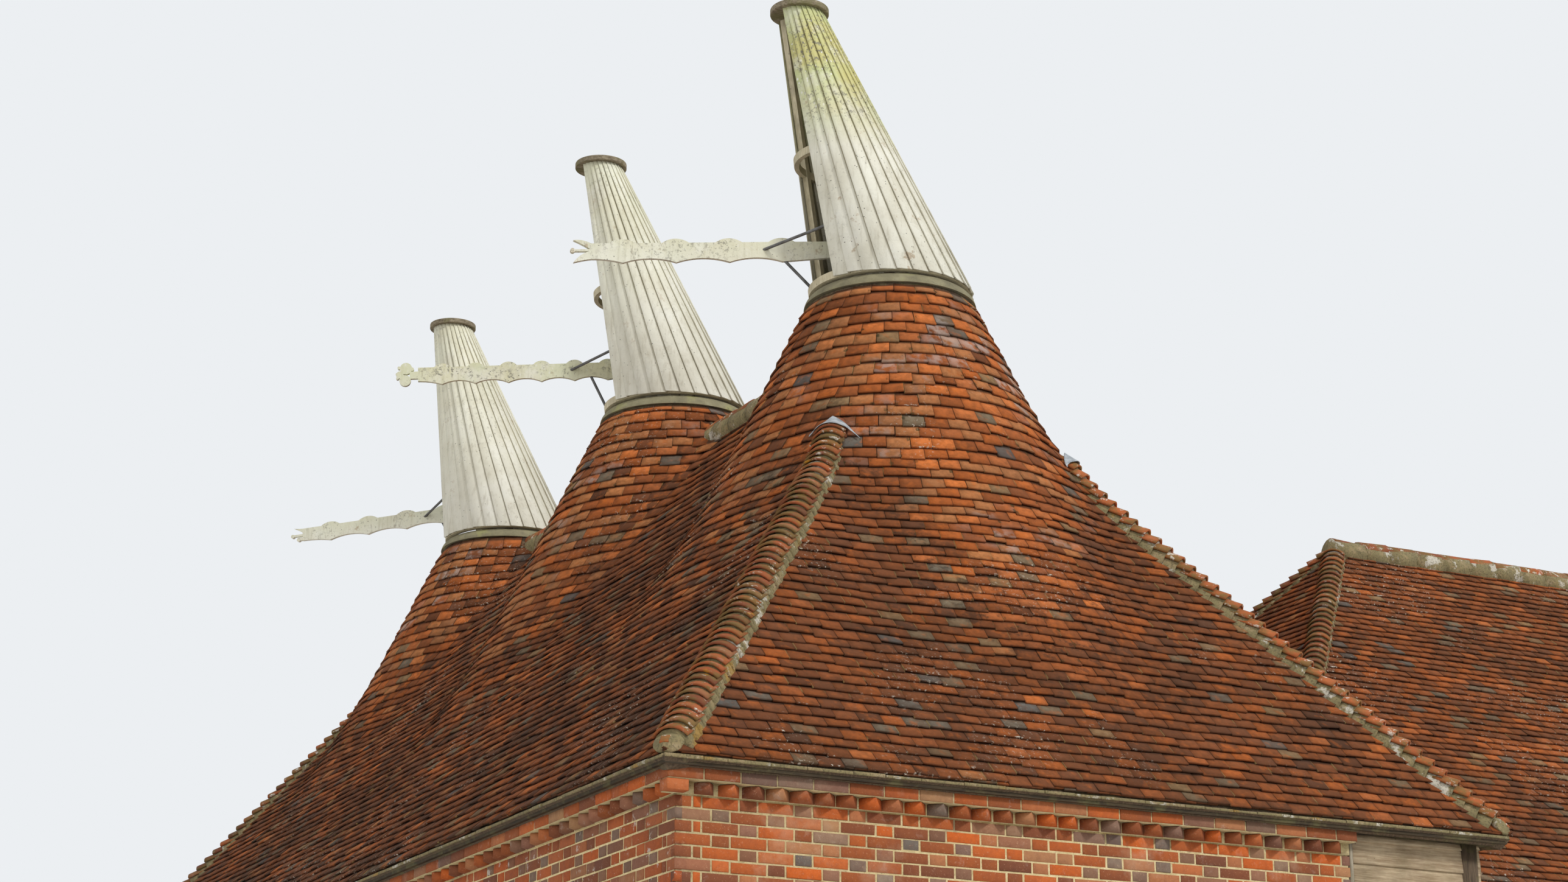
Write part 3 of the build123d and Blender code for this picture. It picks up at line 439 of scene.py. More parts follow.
@dataclass(frozen=True)
class OldPaint:
    """Cream-white paint with green algae, grey lichen rings, dark specks and painted shade beside the board
    laps.
    """

    name: str
    algae: float
    lichen: float
    algae_from: float
    algae_full: float
    bare: float = 0.0

    def make(self) -> Finish:
        """Builds the finish."""
        s = Shader(self.name)
        hue, value, _, _ = s.read("tint")
        broad = s.noise(3.0, 4.0, 0.6)
        base = s.ramp(broad, (0.3, paint(216, 212, 194)), (0.55, paint(232, 230, 215)),
                      (0.8, paint(240, 239, 229)))
        base = s.mix(s.times(hue, 0.25), base, paint(186, 180, 156))
        streak = s.noise(30.0, 4.0, 0.65, s.stretched((1.0, 1.0, 0.1)))
        base = s.mix(s.ramp(streak, (0.52, 0.0), (0.72, 0.4)), base, paint(168, 160, 136))
        above = s.maths("SUBTRACT", s.height(), self.algae_from)
        high = s.maths("DIVIDE", above, self.algae_full - self.algae_from)
        green = s.times(s.ramp(s.noise(4.5, 5.0, 0.65), (0.32, 0.3), (0.5, 1.0)),
                        s.ramp(high, (0.0, 0.0), (1.0, self.algae)))
        base = s.mix(green, base, s.mix(s.patches((0.4, 0.6, 1.0), 2.4, 3.0), paint(198, 192, 126),
                                        paint(196, 202, 146)))
        rust = s.patches((0.64, 0.7, 0.5), 8.0, 4.0, 0.7)
        base = s.mix(s.times(rust, self.lichen), base, paint(150, 112, 58))
        crust = s.times(s.patches((0.55, 0.6, 1.0), 34.0, 5.0, 0.75),
                        s.patches((0.42, 0.6, self.lichen), 2.6, 4.0, 0.6))
        crust = s.times(crust, s.ramp(high, (0.0, 0.2), (0.8, 1.0)))
        base = s.mix(crust, base, s.mix(s.noise(70.0), paint(96, 92, 78), paint(158, 154, 138)))
        specks = s.ramp(s.cells(26.0), (0.09, 0.85), (0.15, 0.0))
        specks = s.times(specks, s.patches((0.5 - 0.2 * self.lichen, 0.62, 1.0), 5.5, 3.0))
        base = s.mix(specks, base, paint(84, 82, 70))
        flaky = s.maths("ADD", s.cells(24.0, s.stretched((1.3, 1.0, 0.8))), s.times(s.noise(90.0, 3.0), 0.14))
        pale = s.times(s.ramp(flaky, (0.25, 0.95), (0.3, 0.0)),
                       s.ramp(s.noise(3.4, 3.0, 0.6), (0.42, 0.15), (0.54, 1.0)))
        base = s.mix(s.times(pale, green), base, paint(236, 234, 226))
        # Painted lap shadow mixed with algae: a dark olive band on each board where the next board's edge
        # laps over it.
        lap_shadow_and_algae = s.ramp(s.read("place")[0], (0.84, 0.0), (0.885, 0.2), (0.897, 0.75), (1.0, 0.75))
        base = s.mix(lap_shadow_and_algae, base, s.mix(s.noise(6.0), paint(112, 102, 72), paint(156, 144, 104)))
        worn = s.ramp(s.noise(12.0, 5.0, 0.75, s.stretched((1.0, 1.0, 0.3))), (0.6, 0.0), (0.64, 1.0))
        base = s.mix(s.times(worn, self.bare), base, paint(142, 132, 112))
        normal = s.relief(s.noise(55.0, 5.0, 0.7), 0.003, 0.7, s.relief(crust, 0.003, 0.6))
        return s.done(base, s.ramp(broad, (0.2, 0.5), (0.8, 0.72)), normal)


@dataclass(frozen=True)
class Cement:
    """Grey render on the curbs, stained and tinged with yellow lichen."""

    name: str = "curb_cement"

    def make(self) -> Finish:
        """Builds the finish."""
        s = Shader(self.name)
        cloud = s.noise(7.0, 5.0, 0.65)
        base = s.ramp(cloud, (0.3, paint(108, 102, 80)), (0.55, paint(138, 131, 102)),
                      (0.75, paint(158, 152, 124)))
        base = s.mix(s.patches((0.54, 0.66, 0.7), 3.5, 4.0, 0.7), base, paint(150, 148, 92))
        base = s.mix(s.patches((0.6, 0.7, 0.7), 28.0, 4.0, 0.7), base, paint(84, 82, 74))
        normal = s.relief(s.noise(60.0, 5.0, 0.75), 0.005, 0.8, s.relief(cloud, 0.008, 0.5))
        return s.done(base, s.ramp(cloud, (0.2, 0.85), (0.8, 0.97)), normal)


@dataclass(frozen=True)
class Metal:
    """Weathered metal: painted iron stays or dressed sheet lead."""

    name: str
    pale: Colour
    dark: Colour
    shine: float
    metallic: float

    def make(self) -> Finish:
        """Builds the finish."""
        s = Shader(self.name)
        cloud = s.noise(18.0, 5.0, 0.65)
        base = s.mix(s.ramp(cloud, (0.35, 0.0), (0.65, 1.0)), self.dark, self.pale)
        base = s.mix(s.patches((0.6, 0.68, 0.6), 45.0, 4.0, 0.7), base, paint(110, 96, 74))
        normal = s.relief(s.noise(24.0, 4.0, 0.6), 0.004, 0.6)
        return s.done(base, s.ramp(cloud, (0.2, self.shine), (0.8, self.shine + 0.22)), normal, self.metallic)


class Stock:
    """The finishes of the whole house, each made once."""

    def __init__(self) -> None:
        """Makes every finish."""
        self.tiles = ClayTiles().make()
        self.bonnets = Bonnets().make()
        self.bed = BedMortar().make()
        self.brick = Brick().make()
        self.mortar = WallMortar().make()
        upright = (1.0, 1.0, 0.08)
        (self.rough_timber, self.eaves_timber, self.post_timber, self.boarding, self.cap_timber,
         self.frame_timber) = (
            Timber(name, paint(*pale), paint(*dark), grain, moss).make()
            for name, pale, dark, grain, moss in (
                ("rough_timber", (116, 98, 78), (70, 58, 46), upright, 0.5),
                ("eaves_timber", (80, 68, 50), (46, 39, 30), (0.08, 0.08, 1.0), 0.4),
                ("post_timber", (176, 166, 146), (132, 122, 104), upright, 0.2),
                ("pale_boarding", (196, 176, 146), (148, 126, 98), (0.06, 0.06, 1.0), 0.15),
                ("cap_timber", (168, 156, 132), (104, 92, 72), (0.2, 1.0, 1.0), 0.8),
                ("frame_timber", (220, 210, 182), (194, 182, 150), upright, 0.15)))
        self.wing_bed = BedMortar("wing_mortar", 0.1).make()
        self.cement = Cement().make()
        self.lead = Metal("sheet_lead", paint(188, 194, 198), paint(140, 146, 150), 0.42, 0.35).make()
        self.iron = Metal("painted_iron", paint(120, 120, 118), paint(72, 70, 68), 0.5, 0.2).make()
        self.cowl_paint = [OldPaint(f"cowl_paint_{number}", *look).make() for number, look in enumerate(
            ((1.0, 1.0, 9.95, 10.55), (0.3, 0.5, 9.6, 11.4), (0.25, 0.5, 9.3, 11.2)), 1)]
        self.vane_paint = [OldPaint(f"vane_paint_{number}", 0.6, 1.0, 9.0, 9.6, bare=0.5).make()
                           for number in (1, 2, 3)]


def everything(bm: Solid) -> list[bmesh.types.BMVert | bmesh.types.BMEdge | bmesh.types.BMFace]:
    """All of a bmesh, as its cutting tools take it."""
    return bm.verts[:] + bm.edges[:] + bm.faces[:]


def face_out(bm: Solid) -> Solid:
    """Turns every face outward and gives the bmesh back."""
    bmesh.ops.recalc_face_normals(bm, faces=bm.faces[:])
    return bm


def cut_off(bm: Solid, place: tuple[float, ...], normal: tuple[float, ...]) -> None:
    """Cuts off what lies beyond a plane and closes the cut."""
    cut = bmesh.ops.bisect_plane(bm, geom=everything(bm), plane_co=place, plane_no=normal, clear_outer=True)
    edges = [e for e in cut["geom_cut"] if isinstance(e, bmesh.types.BMEdge)]
    bmesh.ops.holes_fill(bm, edges=edges, sides=0)


def roughen(bm: Solid, seed: int, amount: float) -> None:
    """Moves every point a little nearer to the middle or farther from it."""
    rng = np.random.default_rng(seed)
    for vert in bm.verts:
        vert.co *= 1 + float(rng.normal(0, amount))


def ways_along(line: Array) -> tuple[Array, Array, Array]:
    """Unit directions along a line, level across it and out of it."""
    along = line / np.linalg.norm(line, axis=-1, keepdims=True)
    across = np.cross(along, UP)
    across /= np.linalg.norm(across, axis=-1, keepdims=True)
    return along, across, np.cross(across, along)


def tints(rng: np.random.Generator, third: Array, fourth: float) -> Array:
    """Tints of many copies: two random shares, then the two given ones."""
    count = len(third)
    return np.stack([rng.random(count), rng.random(count), third, np.full(count, fourth)], axis=1)


def show(mesh: bpy.types.Mesh, materials: list[Finish]) -> Piece:
    """Puts a mesh with its finishes in the scene at the origin, under its own name."""
    for finish in materials:
        mesh.materials.append(finish)
    made = bpy.data.objects.new(mesh.name, mesh)
    bpy.context.scene.collection.objects.link(made)
    return made


def settle(name: str, bm: Solid, materials: list[Finish]) -> Piece:
    """Turns a finished bmesh into a piece at the origin."""
    mesh = bpy.data.meshes.new(name)
    bm.to_mesh(mesh)
    bm.free()
    return show(mesh, materials)


@dataclass(frozen=True)
class Unit:
    """A small block in the unit cube that is laid many times over.

    Its first side runs along the piece, its second up it, and its third out of its face.
    """

    size: tuple[float, float, float] = (1.0, 1.0, 1.0)
    worn: float = 0.0
    columns: int = 1
    rows: int = 1

    def shape(self) -> Solid:
        """Cuts and wears the block at its real size, then brings it back to the unit cube."""
        bm = bmesh.new()
        bmesh.ops.create_cube(bm, size=1.0, matrix=Matrix.Translation((0.5, 0.5, 0.5)))
        for count, normal in ((self.columns, (1, 0, 0)), (self.rows, (0, 1, 0))):
            for step in range(1, count):
                place = Vector(normal) * (step / count)
                bmesh.ops.bisect_plane(bm, geom=everything(bm), plane_co=place, plane_no=normal)
        if self.worn:
            bmesh.ops.scale(bm, vec=self.size, verts=bm.verts[:])
            depth = self.size[2]
            outer = [e for e in bm.edges if all(abs(v.co.z - depth) < 1e-7 for v in e.verts)
                     and len({round(f.normal.z) for f in e.link_faces}) > 1]
            bmesh.ops.bevel(bm, geom=outer, offset=self.worn, offset_type="OFFSET", affect="EDGES",
                            segments=1, profile=0.5, material=-1)
            bmesh.ops.scale(bm, vec=[1 / s for s in self.size], verts=bm.verts[:])
        return face_out(bm)


@dataclass
class Laid:
    """Copies of one unit, each stretched between eight corners.

    Corners are ordered with the first side fastest, then the second, then the third.
    """

    unit: "Unit | RoundTile | MortarRoll | Dab"
    corners: Array
    tint: Array
    slot: int = 0
    bulge: Array | None = None


def lay(name: str, batches: list[Laid], materials: list[Finish]) -> Piece:
    """Joins all the copies into one mesh that carries their tints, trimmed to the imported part's box.

    Args:
        name: Name of the finished piece.
        batches: What is laid.
        materials: Finishes, by the batches' slots.

    Returns:
        The piece, at the origin.
    """
    points, shades, places, loops, sizes, slots, start = [], [], [], [], [], [], 0
    for batch in batches:
        bm = batch.unit.shape()
        bm.verts.index_update()
        unit = np.array([v.co for v in bm.verts])
        faces = [[v.index for v in f.verts] for f in bm.faces]
        bm.free()
        u, v, w = unit.T
        share = np.stack([(u if i & 1 else 1 - u) * (v if i & 2 else 1 - v) * (w if i & 4 else 1 - w)
                          for i in range(8)])
        laid = np.einsum("nij,ik->nkj", batch.corners, share)
        if batch.bulge is not None:
            laid += batch.bulge[:, None, :] * (4 * u * (1 - u))[None, :, None]
        count, each = laid.shape[:2]
        a, b, c = (batch.corners[:, i] - batch.corners[:, 0] for i in (1, 2, 4))
        turned = np.einsum("ni,ni->n", np.cross(a, b), c) < 0
        forward = np.array([i for f in faces for i in f])
        backward = np.array([i for f in faces for i in reversed(f)])
        order = np.where(turned[:, None], backward[None], forward[None])
        loops.append((order + start + (np.arange(count) * each)[:, None]).ravel())
        sizes.append(np.tile([len(f) for f in faces], count))
        slots.append(np.full(len(faces) * count, batch.slot))
        points.append(laid.reshape(-1, 3))
        shades.append(np.repeat(batch.tint, each, axis=0))
        places.append(np.tile(unit, (count, 1)))
        start += count * each
    mesh = bpy.data.meshes.new(name)
    place, loop, size = np.concatenate(points), np.concatenate(loops), np.concatenate(sizes)
    place = np.clip(place, np.array(CAD_BOX[0]), np.array(CAD_BOX[1]))
    mesh.vertices.add(len(place))
    mesh.vertices.foreach_set("co", place.astype(np.float32).ravel())
    mesh.loops.add(len(loop))
    mesh.loops.foreach_set("vertex_index", loop.astype(np.int32))
    mesh.polygons.add(len(size))
    mesh.polygons.foreach_set("loop_start", np.concatenate([[0], np.cumsum(size)[:-1]]).astype(np.int32))
    made = show(mesh, materials)
    mesh.polygons.foreach_set("material_index", np.concatenate(slots).astype(np.int32))
    mesh.update(calc_edges=True)
    for title, kind, key, values in (("tint", "FLOAT_COLOR", "color", shades),
                                     ("place", "FLOAT_VECTOR", "vector", places)):
        layer = mesh.attributes.new(title, kind, "POINT")
        layer.data.foreach_set(key, np.concatenate(values).astype(np.float32).ravel())
    return made


def blocks(origin: Array, along: Array, up: Array, out: Array) -> Array:
    """Eight corners of each block from its first corner and three sides."""
    sides = [np.zeros_like(origin) + s for s in (along, up, out)]
    corners = [origin + sum(s for bit, s in enumerate(sides) if i >> bit & 1) for i in range(8)]
    return np.stack(corners, axis=1)


def adopt(piece: Piece, body: str, slot: str, *nodes: str) -> None:
    """Makes a piece ride on its body in place of CAD nodes, and logs it."""
    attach(piece, body)
    if nodes:
        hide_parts(*nodes)
    log.info("%s: %d faces", piece.name, len(piece.data.polygons))


def dress(node: str, finish: Finish) -> None:
    """Gives a CAD node its finish."""
    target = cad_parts[node]
    target.data.materials.clear()
    target.data.materials.append(finish)
    log.info("%s: finished", node)


class Bond(Enum):
    """Which brick starts a course at a corner."""

    STRETCHER_FIRST = 0
    HEADER_FIRST = 1


@dataclass
class Stretch:
    """A straight stretch of wall: where it starts on the ground, how it runs and which way it faces."""

    name: str
    start: tuple[float, float]
    along: tuple[float, float]
    out: tuple[float, float]
    length: float

    def ways(self) -> list[Array]:
        """Its start and its directions along and out, as points and vectors in space."""
        return [np.array([*pair, 0.0]) for pair in (self.start, self.along, self.out)]


@dataclass
class BrickWall(Stretch):
    """A wall in Flemish bond: worn bricks standing out of recessed mortar."""

    first: Bond = Bond.STRETCHER_FIRST
    thickness: float = 0.343
    courses: int = 68
    gauge: float = 0.071
    stretcher: float = 0.2225
    header: float = 0.105
    closer: float = 0.044
    joint: float = 0.0125
    recess: float = 0.006
    depth: float = 0.045
    soiled: float = 0.0
    face: float = 0.065
    worn: float = 0.004
    inset: float = 0.014
    corner: float = 0.002

    def course(self, level: int) -> list[tuple[float, float, bool]]:
        """Bricks of one course as start, length and whether it is a header."""
        header_first = (level + self.first.value) % 2 == 1
        bricks, reached = [], self.corner
        if header_first:
            bricks += [(reached, self.header - self.corner, True),
                       (self.header + self.joint, self.closer, False)]
            reached = self.header + self.closer + 2 * self.joint
        stretcher_next = True
        while reached < self.length - 0.03:
            size = self.stretcher if stretcher_next else self.header
            stop = min(reached + size, self.length)
            if reached == self.corner:
                stop = self.stretcher
            bricks.append((reached, stop - reached, not stretcher_next))
            reached = stop + self.joint
            stretcher_next = not stretcher_next
        return bricks

    def build(self, stock: Stock, seed: int) -> Piece:
        """Lays the wall.

        Args:
            stock: Finishes.
            seed: Seed for the bricks' colours and wear.

        Returns:
            The wall.
        """
        rng = np.random.default_rng(seed)
        base, along, out = self.ways()
        rows = [(*brick, level) for level in range(self.courses) for brick in self.course(level)]
        start, size, head, level = (np.array(column, float) for column in zip(*rows))
        count = len(start)
        face = rng.normal(0, 0.0012, count).clip(-0.003, 0.002) - 0.001
        lift = level * self.gauge + 0.003 + rng.normal(0, 0.0012, count).clip(-0.0025, 0.0025)
        origin = (base + start[:, None] * along + lift[:, None] * UP
                  + (face - self.depth)[:, None] * out)
        up = np.tile(UP * (self.gauge - self.joint + 0.002), (count, 1))
        corners = blocks(origin, size[:, None] * along, up, out * self.depth)
        corners[:, 4:] += (rng.normal(0, 0.0009, (count, 4)).clip(-0.0018, 0.0018))[..., None] * out
        is_grey = np.where(head > 0.5, rng.random(count) < 0.5, rng.random(count) < 0.09)
        tint = tints(rng, is_grey * rng.uniform(0.55, 1.0, count), self.soiled)
        long_unit, short_unit = (Unit((size, self.face, self.depth), self.worn)
                                 for size in (self.stretcher, self.header))
        is_long = size > 0.15
        core = blocks(base[None] - out * self.thickness + along * self.inset,
                      along * (self.length - 2 * self.inset), UP * self.courses * self.gauge,
                      out * (self.thickness - self.recess))
        batches = [Laid(Unit(), core, np.array([MORTAR_TINT]), 1),
                   Laid(long_unit, corners[is_long], tint[is_long]),
                   Laid(short_unit, corners[~is_long], tint[~is_long])]
        return lay(self.name, batches, [stock.brick, stock.mortar])


@dataclass
class Cornice(Stretch):
    """A stretcher course standing out over a row of bricks laid cornerwise."""

    square_first: float = 0.0
    square_last: float = 0.0
    top: float = WALL_TOP
    gauge: float = 0.071
    reach: float = 0.085
    tooth: float = 0.106
    pitch: float = 0.151
    brick: float = 0.2235
    joint: float = 0.008
    recess: float = 0.007
    face: float = 0.065
    bite: float = 0.02
    square: float = 0.135

    def build(self, stock: Stock, seed: int) -> Piece:
        """Lays both courses and their mortar.

        Args:
            stock: Finishes.
            seed: Seed for the bricks' colours and tilts.

        Returns:
            The cornice.
        """
        rng = np.random.default_rng(seed)
        base, along, out = self.ways()
        high, low = self.top - self.gauge, self.top - 2 * self.gauge
        starts = np.arange(0.0, self.length - 0.04, self.brick + self.joint)
        sizes = np.minimum(self.brick, self.length - starts)
        count = len(starts)
        origin = base + starts[:, None] * along + (high + 0.003 + rng.normal(0, 0.001, count)[:, None]) * UP
        origin = origin - out * self.bite
        upper = blocks(origin, sizes[:, None] * along, UP * self.face, out * (self.reach + self.bite))
        upper[:, 4:] += rng.normal(0, 0.0022, (count, 4)).clip(-0.005, 0.0)[..., None] * out
        row = self.length - self.square_first - self.square_last
        teeth = int(row // self.pitch)
        middles = self.square_first + row / 2 + (np.arange(teeth) - (teeth - 1) / 2) * self.pitch
        half = self.tooth / math.sqrt(2)
        right, left = (along + out) * (half * 0.995), (out - along) * (half * 0.995)
        turn = rng.normal(0, 0.004, (teeth, 1))
        place = (base + middles[:, None] * along - out * half + turn * along
                 + (low + 0.004 + rng.normal(0, 0.001, teeth)[:, None]) * UP)
        lower = blocks(place, right[None] + turn * out, left[None] - turn * along, UP * 0.064)
        squares = [s for s, size in ((0.0, self.square_first),
                                     (self.length - self.square_last, self.square_last)) if size]
        ends = [blocks((base + s * along + (low + 0.004) * UP - out * self.bite)[None], along * self.square,
                       UP * 0.064, out * (self.reach + 0.016)) for s in squares]
        inner = base[None] + along * self.recess - out * self.bite
        inside = along * (self.length - 2 * self.recess)
        bed = blocks(inner + high * UP, inside, UP * self.gauge, out * (self.reach + self.bite - self.recess))
        back = blocks(inner + low * UP, inside, UP * self.gauge, out * 0.022)

        def mostly_red(number: int) -> Array:
            """Random tints, few of them grey."""
            return tints(rng, (rng.random(number) < 0.14) * rng.uniform(0.4, 0.9, number), 0.1)

        stretch, square = (Unit((size, self.face, self.reach), 0.005) for size in (self.brick, self.square))
        tooth = Unit((self.tooth, self.tooth, self.face), 0.004)
        batches = [Laid(stretch, upper, mostly_red(count)), Laid(tooth, lower, mostly_red(teeth)),
                   Laid(Unit(), np.concatenate([bed, back]), np.tile(MORTAR_TINT, (2, 1)), 1)]
        batches += [Laid(square, corner, mostly_red(1)) for corner in ends]
        return lay(self.name, batches, [stock.brick, stock.mortar])


@dataclass
class Weatherboarding(Stretch):
    """A framed wall clad outside in lapped boards."""

    height: float = WALL_TOP
    thickness: float = 0.150
    show: float = 0.160
    lap: float = 0.030
    longest: float = 3.4
    thick: float = 0.026
    thin: float = 0.009
    behind: float = 0.034

    def cladding(self, rng: np.random.Generator) -> Laid:
        """Lapped boards, jointed end to end at random."""
        base, along, out = self.ways()
        rows = []
        for level in range(math.ceil(self.height / self.show)):
            reached = 0.0
            while reached < self.length - 1e-6:
                size = self.length - reached
                if size > self.longest:
                    size = min(self.longest, size - 0.6) * rng.uniform(0.6, 1.0)
                rows.append((reached, size, level))
                reached += size
        start, size, level = (np.array(c, float) for c in zip(*rows))
        low = level * self.show
        high = np.minimum(low + self.show + self.lap, self.height)
        jitter = rng.normal(0, 0.0015, (len(rows), 2)).clip(-0.003, 0.003)
        bottom = base + start[:, None] * along - out * self.behind
        nudge = (0.0015 + 0.002 * (level % 2))[:, None]
        ends = [(along * nudge, 0), (along * (size[:, None] - nudge), 1)]
        corners = np.zeros((len(rows), 8, 3))
        for shift, side in ends:
            foot = bottom + shift + (low + jitter[:, side])[:, None] * UP
            head = bottom + shift + high[:, None] * UP
            corners[:, side], corners[:, side + 2] = foot, head
            corners[:, side + 4] = foot + out * (self.behind - 0.001)
            corners[:, side + 6] = head + out * (self.behind - self.thick + self.thin)
        tint = np.concatenate([rng.random((len(rows), 3)), np.ones((len(rows), 1))], axis=1)
        return Laid(Unit((2.0, 0.19, 0.03), 0.003), corners, tint)

    def laid(self, seed: int) -> list[Laid]:
        """Makes the framing slab and its boards."""
        rng = np.random.default_rng(seed)
        base, along, out = self.ways()
        slab = blocks(base[None] - out * self.thickness, along * self.length,
                      UP * self.height, out * (self.thickness - 0.03))
        back = Laid(Unit((2.0, 4.0, 0.1), 0.004), slab, np.array([[0.5, 0.5, 0.5, 1.0]]), 1)
        return [back, self.cladding(rng)]


@dataclass(frozen=True)
class RoofForm:
    """A roof's height over its plan: the lowest of its planes, which sweep up into round cones."""

    planes: tuple[tuple[float, float, float], ...]
    cones: tuple[tuple[float, float], ...] = ()
    cone_r: float = 0.620
    spread: float = 0.47
    sweep: float = 0.42

    def plane_heights(self, x: Array, y: Array) -> Array:
        """Height of each plane at the points."""
        return np.stack([a + b * x + c * y for a, b, c in self.planes])

    def surface(self, x: Array, y: Array) -> tuple[Array, Array, Array]:
        """Works out the roof at points of its plan.

        Args:
            x: Places across.
            y: Places along.

        Returns:
            Height, nearness to a swept join, and height above the planes alone.
        """
        flat = self.plane_heights(x, y).min(0)
        level, join = flat, np.zeros_like(flat)
        for axis, top in self.cones:
            cone = top - (np.hypot(x, y - axis) - self.cone_r) / self.spread
            near = np.maximum(self.sweep - np.abs(level - cone), 0) / self.sweep
            level = np.maximum(level, cone) + near ** 2 * self.sweep / 4
            join = np.maximum(join, near)
        return level, join, level - flat

    def height(self, x: Array, y: Array) -> Array:
        """The roof's height alone."""
        return self.surface(x, y)[0]

    def uphill(self, points: Array) -> tuple[Array, Array]:
        """Level direction of steepest rise at plan points, and the rise in a metre."""
        step = 0.004
        x, y = points.T
        across = (self.height(x + step, y) - self.height(x - step, y)) / (2 * step)
        along = (self.height(x, y + step) - self.height(x, y - step)) / (2 * step)
        steep = np.maximum(np.hypot(across, along), 0.2)
        return np.stack([across, along], axis=1) / steep[:, None], steep

    def reach(self, level: float, origin: Array, way: Array, limit: float) -> Array:
        """Plan points where rays going down the roof meet a level.

        Args:
            level: Height to find.
            origin: Where each ray starts, on or above the level.
            way: Level direction of each ray.
            limit: Farthest a ray goes.

        Returns:
            The plan points.
        """
        low, high = np.zeros(len(origin)), np.full(len(origin), limit)
        for _ in range(34):
            middle = (low + high) / 2
            above = self.height(*(origin + way * middle[:, None]).T) > level
            low, high = np.where(above, middle, low), np.where(above, high, middle)
        return origin + way * low[:, None]


@dataclass
class Row:
    """One stretch of a course: its line on the roof and where its bond starts."""

    line: Array
    start_at: int
    closed: bool
    side: int | None


@dataclass
class TileBed:
    """How plain tiles are laid along the courses of a roof."""

    width: float = 0.158
    thick: float = 0.0135
    step_down: float = 0.0160
    overlap: float = 1.6
    gap: float = 0.0022
    camber: float = 0.0008
    least: float = 0.055
    uneven: float = 0.0042
    slip: float = 0.0034
    skew: float = 0.0018
    raised: float = 0.0024
    tilt: float = 0.0008
    vary: float = 0.0009
    warp: float = 0.0012

    def joints(self, row: Row, phase: float, rng: np.random.Generator) -> Array:
        """Plan points of the joints along a row, ends included."""
        legs = np.linalg.norm(np.diff(row.line, axis=0), axis=1)
        arc = np.concatenate([[0], np.cumsum(legs)])
        total, first = arc[-1], arc[row.start_at]
        if row.closed:
            count = round(total / self.width)
            even = first + (np.arange(count) + phase) * total / count
            stops = np.sort((even + rng.normal(0, self.uneven, count)) % total)
            stops = np.concatenate([stops, stops[:1] + total]) % (total + 1e-9)
            stops[-1] = stops[0]
        else:
            steps = np.arange(math.ceil(-first / self.width) - 1, math.ceil((total - first) / self.width) + 1)
            stops = first + (steps + phase) * self.width
            stops = stops + rng.normal(0, self.uneven, len(stops))
            stops = stops[(stops > self.least) & (stops < total - self.least)]
            stops = np.concatenate([[0.0], stops, [total]])
        return np.stack([np.interp(stops, arc, row.line[:, i]) for i in (0, 1)], axis=1)

    def trimmed(self, form: RoofForm, heads: Array, side: int | None) -> Array:
        """Keeps the tiles' heads on their own side of the hips."""
        if side is None:
            return heads
        own = np.array(form.planes[side])
        for other, plane in enumerate(form.planes):
            turn = own[1:] - np.array(plane[1:])
            if other == side or abs(own[1:] @ np.array(plane[1:])) > 1e-6:
                continue
            way = np.array([-own[2], own[1]]) / np.hypot(*own[1:])
            over = (own[0] + heads @ own[1:]) - (plane[0] + heads @ np.array(plane[1:]))
            slide = np.where(over > 0, -over / (turn @ way), 0.0)
            heads = heads + slide[:, None] * way
        return heads

    def course(self, form: RoofForm, row: Row, phase: float, rise: float, ceiling: float,
               rng: np.random.Generator, drop: float = 0.0) -> tuple[Array, Array, Array]:
        """Lays one row of tiles.

        Args:
            form: The roof.
            row: Where the tiles' tails lie.
            phase: Share of a tile that the bond is shifted by.
            rise: Height from course to course.
            ceiling: Height that no tile's head passes.
            rng: Random source.
            drop: How far the row lies below the roof's surface.

        Returns:
            Corners, the tiles' middles and their bulge.
        """
        tails = self.joints(row, phase, rng)
        way, steep = form.uphill(tails)
        level = form.height(*tails.T)
        climb = np.minimum(self.overlap * rise, ceiling - level)
        heads = self.trimmed(form, tails + way * (climb / steep)[:, None], row.side)
        count = len(tails) - 1
        normal = np.column_stack([-way * steep[:, None], np.ones(len(tails))])
        normal /= np.linalg.norm(normal, axis=1)[:, None]
        slide = rng.normal(0, self.slip, (count, 1)).clip(-0.008, 0.007)
        slide = slide + rng.normal(0, self.skew, (count, 2))
        lift = np.abs(rng.normal(0, self.raised, (count, 2))).clip(0, 0.007) - 0.0015 - drop
        tilt = rng.normal(0, self.tilt, count)
        thick = self.thick + rng.normal(0, self.vary, count)
        corners = np.zeros((count, 8, 3))
        for u in (0, 1):
            here = slice(u, u + count)
            between = tails[1:] - tails[:-1]
            inward = between / np.maximum(np.linalg.norm(between, axis=1), 1e-6)[:, None] * (
                self.gap / 2 * (1 - 2 * u) + tilt[:, None])
            for v, spot in ((0, tails), (1, heads)):
                place = spot[here] + inward
                if v == 0:
                    place = place + way[here] * slide[:, u, None]
                base = np.column_stack([place, form.height(*place.T)])
                top = lift[:, u] - (self.step_down * self.overlap if v else 0.0)
                corners[:, u + 2 * v + 4] = base + normal[here] * top[:, None]
                corners[:, u + 2 * v] = base + normal[here] * (top - thick)[:, None]
        middles = (tails[1:] + tails[:-1]) / 2
        bulge = (normal[1:] + normal[:-1]) / 2 * (self.camber + rng.normal(0, self.warp, count))[:, None]
        return corners, middles, bulge


